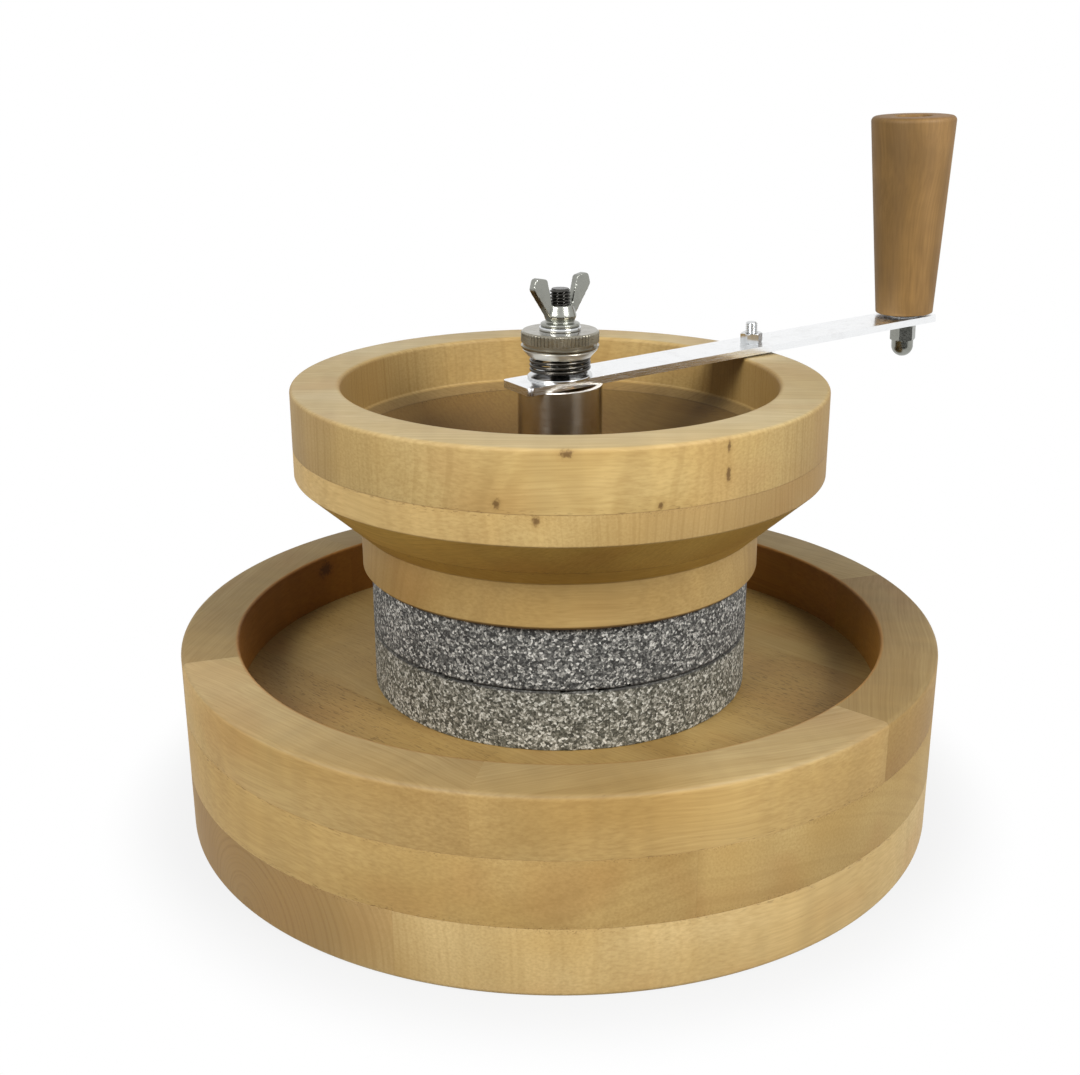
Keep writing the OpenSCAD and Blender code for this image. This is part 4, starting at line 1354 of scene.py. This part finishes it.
@dataclass
class Adjuster:
    """The spindle and what presses the stones together: spring, cup, knurled nut, washer and wing nut."""

    zinc: Material
    cast: Material
    thread_radius: float = 4.0
    pitch: float = 1.25
    lead_in: float = 0.9
    rod_steps: int = 40
    journal_radius: float = 6.0
    journal_drop: float = 1.6
    spring_radius: float = 11.85
    wire: float = 1.5
    turns: float = 3.0
    rings_per_turn: int = 36
    wire_sides: int = 12
    hole: float = 4.3
    cup_foot: float = 12.0
    cup_top: float = 14.6
    cup_foot_edge: float = 0.25
    cup_top_edge: float = 0.2
    cup_steps: int = 120
    nut_radius: float = 15.0
    nut_level: float = 0.2
    ribs: int = 60
    rib_depth: float = 0.45
    rib_steps: int = 8
    groove: float = 0.8
    collar: float = 1.4
    bevel: float = 0.8
    bevel_slope: float = 1.2
    washer_radius: float = 8.0
    washer_foot_edge: float = 0.3
    washer_top_edge: float = 0.4
    washer_steps: int = 96
    wing_span: float = 29.0
    wing_height: float = 19.5
    wing_thick: float = 3.0
    wing_deg: float = 10.0
    wing_root: float = 2.6
    wing_sunk: float = 0.6
    wing_shoulder: float = 4.6
    wing_lean: float = 1.2
    wing_width: float = 6.8
    wing_dip: float = 1.0
    wing_fillets: Sizes = (2.2, 2.04, 1.6)
    boss_height: float = 8.4
    wing_high_radius: float = 5.2
    boss_top_radius: float = 5.0
    boss_edge: float = 1.0
    boss_steps: int = 72
    waist_radius: float = 5.4
    waist_height: float = 1.9
    belly_radius: float = 6.3
    belly_height: float = 4.2
    belly_fillet: float = 1.2
    foot_radius: float = 7.5
    foot_height: float = 1.3
    foot_edge: float = 0.3
    wing_low_radius: float = 5.6
    voxel: float = 0.28
    softenings: int = 4
    softening: float = 0.5

    def spindle(self) -> None:
        """Cuts the spindle with its journal and both threads."""
        low, high = heights("spindle")
        journal_low = heights("bed_stone")[1]
        journal_high = heights("drive_tube")[1] - self.journal_drop

        def radius(z: float, angle: float) -> float:
            """Radius of the plain journal or of the threads, with a lead-in at each end.

            Args:
                z: Height on the spindle.
                angle: Angle round it, in radians.

            Returns:
                The radius there.
            """
            if journal_low <= z <= journal_high:
                return self.journal_radius
            lead = self.thread_radius - self.lead_in + min(z - low, high - z)
            return min(thread(self.thread_radius, self.pitch, z, angle), lead)

        step = self.pitch / THREAD_CUTS
        levels = (steps_between(low, journal_low - JUST_OFF, step) + [journal_low, journal_high]
                  + steps_between(journal_high + JUST_OFF, high, step))
        piece = new_piece("threaded_spindle", turned(levels, radius, self.rod_steps))
        dress(piece, BLACK_ROD.make(), Slot.ZINC, Body.BASE, "spindle")

    def spring(self) -> None:
        """Winds the pressure spring as one wire, stretched between the base and the cup."""
        low, high = heights("pressure_spring")
        half = self.wire / 2
        mean = self.spring_radius - half
        count = round(self.turns * self.rings_per_turn)
        sides = [2 * math.pi * k / self.wire_sides for k in range(self.wire_sides)]
        # Each end of the wire runs out straight for its own thickness
        places = [(0, -self.wire), *((i, 0.0) for i in range(count + 1)), (count, self.wire)]
        rings = []
        for i, ahead in places:
            a = 2 * math.pi * self.turns * i / count
            out, along = Vector((math.cos(a), math.sin(a), 0)), Vector((-math.sin(a), math.cos(a), 0))
            z = low + half + (high - low - self.wire) * i / count
            rings.append([
                out * (mean + half * math.cos(b)) + along * ahead + Vector((0, 0, z + half * math.sin(b)))
                for b in sides])
        coil = new_piece("wound_pressure_spring", loft(bmesh.new(), rings))
        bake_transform(coil)
        dress(coil, SPRING_STEEL.make(), Slot.SPRING, None, "pressure_spring")

    def cup(self) -> None:
        """Turns the cup on the spring."""
        low, high = heights("spring_cup")
        cup = lathe(rounded(
            Corner(self.hole, low), Corner(self.cup_foot, low, self.cup_foot_edge),
            Corner(self.cup_top, high, self.cup_top_edge), Corner(self.hole, high)), self.cup_steps)
        dress(new_piece("turned_spring_cup", cup), CUP.make(), Slot.NICKEL, Body.SPRING_CUP, "spring_cup")

    def knurled(self) -> None:
        """Turns the knurled nut."""
        low, high = heights("knurled_nut")
        collar_top = low + self.collar
        band = collar_top + self.collar

        def radius(z: float, angle: float) -> float:
            """Radius of the collar, the groove and the ribs, with bevelled edges.

            Args:
                z: Height on the nut.
                angle: Angle round it, in radians.

            Returns:
                The radius there.
            """
            edge = self.nut_radius - self.bevel + min(z - low, high - z) * self.bevel_slope
            if z < collar_top:
                return min(self.nut_radius, edge)
            if z < band:
                return self.nut_radius - self.groove
            rib = abs(angle * self.ribs / (2 * math.pi) % 1.0 - 0.5)
            return min(self.nut_radius - self.rib_depth + 2 * self.rib_depth * rib, edge)

        levels = (steps_between(low, collar_top - JUST_OFF, self.nut_level) + [collar_top, band - JUST_OFF]
                  + steps_between(band, high, self.nut_level))
        nut = turned(levels, radius, self.ribs * self.rib_steps, self.thread_radius + THREAD_PLAY)
        piece = new_piece("turned_knurled_nut", nut)
        dress(piece, NICKEL.make(), Slot.NICKEL, Body.KNURLED_NUT, "knurled_nut")

    def lock_washer(self) -> None:
        """Presses the washer on the knurled nut."""
        low, high = heights("lock_washer")
        washer = lathe(rounded(
            Corner(self.hole, low), Corner(self.washer_radius, low, self.washer_foot_edge),
            Corner(self.washer_radius, high, self.washer_top_edge), Corner(self.hole, high)),
            self.washer_steps)
        dress(new_piece("pressed_lock_washer", washer), self.zinc, Slot.ZINC, Body.LOCK_WASHER, "lock_washer")

    def wing_nut(self) -> None:
        """Casts the wing nut: boss and wings grown together with soft fillets."""
        bore, top = self.thread_radius + THREAD_PLAY, self.boss_height
        boss = lathe(rounded(
            Corner(bore, 0), Corner(self.foot_radius, 0, self.foot_edge),
            Corner(self.foot_radius, self.foot_height, self.foot_edge),
            Corner(self.waist_radius, self.waist_height, self.foot_edge),
            Corner(self.belly_radius, self.belly_height, self.belly_fillet),
            Corner(self.boss_top_radius, top, self.boss_edge), Corner(bore, top)), self.boss_steps)
        half, tip, sunk = self.wing_span / 2, self.wing_height, bore + self.wing_sunk
        shoulder, outer, inner = self.wing_fillets
        blade = rounded(
            Corner(sunk, self.wing_root), Corner(self.wing_low_radius, self.wing_root),
            Corner(half, tip - self.wing_shoulder, shoulder), Corner(half - self.wing_lean, tip, outer),
            Corner(half - self.wing_width, tip - self.wing_dip, inner),
            Corner(self.wing_high_radius, top, self.boss_edge), Corner(sunk, top))
        for side in (0, math.pi):
            turn = Matrix.Rotation(side, 4, "Z")
            loft(boss, [[turn @ Vector((p.x, y, p.y)) for p in blade]
                        for y in (-self.wing_thick / 2, self.wing_thick / 2)])
        foot = Matrix.Translation((0, 0, heights("wing_nut")[0] * MM))
        nut = new_piece("cast_wing_nut", boss, foot @ Matrix.Rotation(math.radians(self.wing_deg), 4, "Z"))
        fuse = nut.modifiers.new("grown_together", "REMESH")
        fuse.mode = "VOXEL"
        fuse.voxel_size = self.voxel * MM
        soft = nut.modifiers.new("soft_casting", "SMOOTH")
        soft.iterations = self.softenings
        soft.factor = self.softening
        apply_modifiers(nut)
        nut.data.polygons.foreach_set("use_smooth", [True] * len(nut.data.polygons))
        dress(nut, self.cast, Slot.ZINC, Body.WING_NUT, "wing_nut")

    def build(self) -> None:
        """Builds the whole stack."""
        self.spindle()
        self.spring()
        self.cup()
        self.knurled()
        self.lock_washer()
        self.wing_nut()


@dataclass
class HiddenParts:
    """The pieces inside the mill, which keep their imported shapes."""

    zinc: Material
    rynd_bevel: float = 0.4
    screw_bevel: float = 0.15
    steel_bevel: float = 0.2
    steel: tuple[str, ...] = (
        "bed_clamp_washer", "foot_washer", "foot_nut", "handle_bolt", "handle_sleeve", "handle_head_washer")
    bushes: tuple[str, ...] = ("lower_bush", "upper_bush")

    def build(self) -> None:
        """Finishes the pieces."""
        finish_node("rynd", IRON.make(), self.rynd_bevel)
        finish_node("rynd_screws", self.zinc, self.screw_bevel)
        bronze = BRONZE.make()
        for node in self.bushes:
            finish_node(node, bronze)
        for node in self.steel:
            finish_node(node, self.zinc, self.steel_bevel)


@dataclass
class Studio:
    """A pale floor, soft lamps and the camera, in metres; a lamp has an angle and a power in watts."""

    eye: tuple[float, float, float] = (-0.2955, -0.4620, 0.2950)
    heading: tuple[float, float] = (0.539, 0.842)
    tilt_deg: float = 18.87
    lens: float = 48.27
    sensor: float = 36.0
    shift: float = -0.0188
    roll_deg: float = 0.1
    floor_half: float = 12.0
    floor_glow: float = 0.86
    floor_near_mm: float = 148.0
    floor_far_mm: float = 190.0
    paper: str = "#909090"
    room_light: float = 0.13
    lamp_away: float = 1.6
    lamp_rise_deg: float = 35.0
    lamp_size: float = 0.6
    lamp_aim: float = 0.1
    lamp_left: tuple[float, float] = (-42.0, 19.8)
    lamp_right: tuple[float, float] = (50.0, 23.0)
    card_near: float = 0.24
    card_far: float = 1.2
    card_span: tuple[float, float] = (-95.0, 62.0)
    card_steps: int = 24
    card_grey: str = "#262523"

    def camera(self) -> None:
        """Sets the camera."""
        data = bpy.data.cameras.new("camera")
        data.sensor_width = self.sensor
        data.lens = self.lens
        data.shift_x = self.shift
        camera = bpy.data.objects.new("camera", data)
        camera.location = self.eye
        tilt = math.radians(self.tilt_deg)
        look = -self.beside(0) * math.cos(tilt) - Vector((0, 0, math.sin(tilt)))
        roll = Quaternion(look, -math.radians(self.roll_deg))
        camera.rotation_euler = (roll @ look.to_track_quat("-Z", "Y")).to_euler()
        bpy.context.scene.collection.objects.link(camera)
        bpy.context.scene.camera = camera

    def beside(self, side_deg: float) -> Vector:
        """A level direction from the mill, turned by an angle to the right of the camera."""
        to_camera = -Vector((*self.heading, 0)).normalized()
        return Matrix.Rotation(math.radians(side_deg), 3, "Z") @ to_camera

    def lamp(self, name: str, side_deg: float, power: float) -> None:
        """Hangs one soft box, aimed at the mill.

        Args:
            name: Name of the lamp.
            side_deg: Its place to the right of the camera, as an angle round the mill.
            power: Its power in watts.
        """
        data = bpy.data.lights.new(name, "AREA")
        data.size = self.lamp_size
        data.energy = power
        lamp = bpy.data.objects.new(name, data)
        rise = math.radians(self.lamp_rise_deg)
        away = self.beside(side_deg) * math.cos(rise) + Vector((0, 0, math.sin(rise)))
        lamp.location = Vector((0, 0, self.lamp_aim)) + away * self.lamp_away
        lamp.rotation_euler = (-away).to_track_quat("-Z", "Y").to_euler()
        bpy.context.scene.collection.objects.link(lamp)

    def seen_white(self, tree: Tree) -> Socket:
        """Finds what is seen rather than lit.

        Args:
            tree: Node tree that takes the nodes.

        Returns:
            A share that is 1 for what the camera, a mirror or glass sees, and 0 for light on the object.
        """
        path = add_node(tree, "LightPath").node.outputs
        seen = (path["Is Camera Ray"], path["Is Glossy Ray"])
        seen = (add_node(tree, "Math", seen, operation="MAXIMUM"), path["Is Transmission Ray"])
        return add_node(tree, "Math", seen, operation="MAXIMUM")

    def world(self) -> None:
        """Makes the white surroundings."""
        world = bpy.data.worlds.new("white_room")
        world.use_nodes = True
        tree = world.node_tree
        strength = add_node(tree, "MapRange", (self.seen_white(tree), 0.0, 1.0, self.room_light, 1.0))
        set_inputs(tree, tree.nodes["Background"], {"Strength": strength, "Color": WHITE})
        bpy.context.scene.world = world

    def floor(self) -> None:
        """Lays the pale floor, which stays white to the eye and keeps the mill's shadow."""
        shape = bmesh.new()
        bmesh.ops.create_grid(shape, x_segments=1, y_segments=1, size=self.floor_half)
        floor = new_piece("pale_floor", shape)
        material, tree, _, place = new_material("matt_white_paper")
        paper = add_node(tree, "BsdfDiffuse", {"Color": self.paper})
        glow = add_node(tree, "Emission", {"Color": WHITE, "Strength": 1.0})
        away = add_node(tree, "VectorMath", (place,), "Value", operation="LENGTH")
        span = (self.floor_near_mm, self.floor_far_mm, self.floor_glow, 1.0)
        fade = add_node(tree, "MapRange", (away, *span), **SOFT)
        share = add_node(tree, "Math", (self.seen_white(tree), fade), operation="MULTIPLY")
        mixed = add_node(tree, "MixShader", (share, paper, glow))
        set_inputs(tree, tree.nodes["Material Output"], {"Surface": mixed})
        floor.data.materials.append(material)

    def dark_card(self) -> None:
        """Lays a dark card in front of the mill, out of the picture, which only shows in the bright metal."""
        shape = bmesh.new()
        first, last = self.card_span
        edges = []
        for k in range(self.card_steps + 1):
            way = self.beside(first + (last - first) * k / self.card_steps)
            ends = (self.card_near, self.card_far)
            edges.append([shape.verts.new(way * reach + Vector((0, 0, MM))) for reach in ends])
        for here, there in zip(edges, edges[1:]):
            shape.faces.new((here[0], here[1], there[1], there[0]))
        card = new_piece("dark_card", shape)
        material, tree, _, _ = new_material("matt_black_card")
        grey = add_node(tree, "Emission", {"Color": self.card_grey, "Strength": 1.0})
        set_inputs(tree, tree.nodes["Material Output"], {"Surface": grey})
        card.data.materials.append(material)
        card.visible_camera = False
        card.visible_diffuse = False
        card.visible_shadow = False

    def build(self) -> None:
        """Sets up the whole studio."""
        bpy.context.scene.view_settings.view_transform = "Standard"
        self.camera()
        self.world()
        self.floor()
        self.dark_card()
        self.lamp("left_lamp", *self.lamp_left)
        self.lamp("right_lamp", *self.lamp_right)


def main() -> None:
    """Builds the studio and the mill."""
    logging.basicConfig(level=logging.INFO, format="%(name)s: %(message)s")
    Studio().build()
    zinc, cast = ZINC.make(), CAST.make()
    for assembly in (
        Tray(), Stones(), Hopper(), Crank(zinc, cast), Adjuster(zinc, cast), HiddenParts(zinc),
    ):
        assembly.build()


if __name__ == "__main__":
    main()
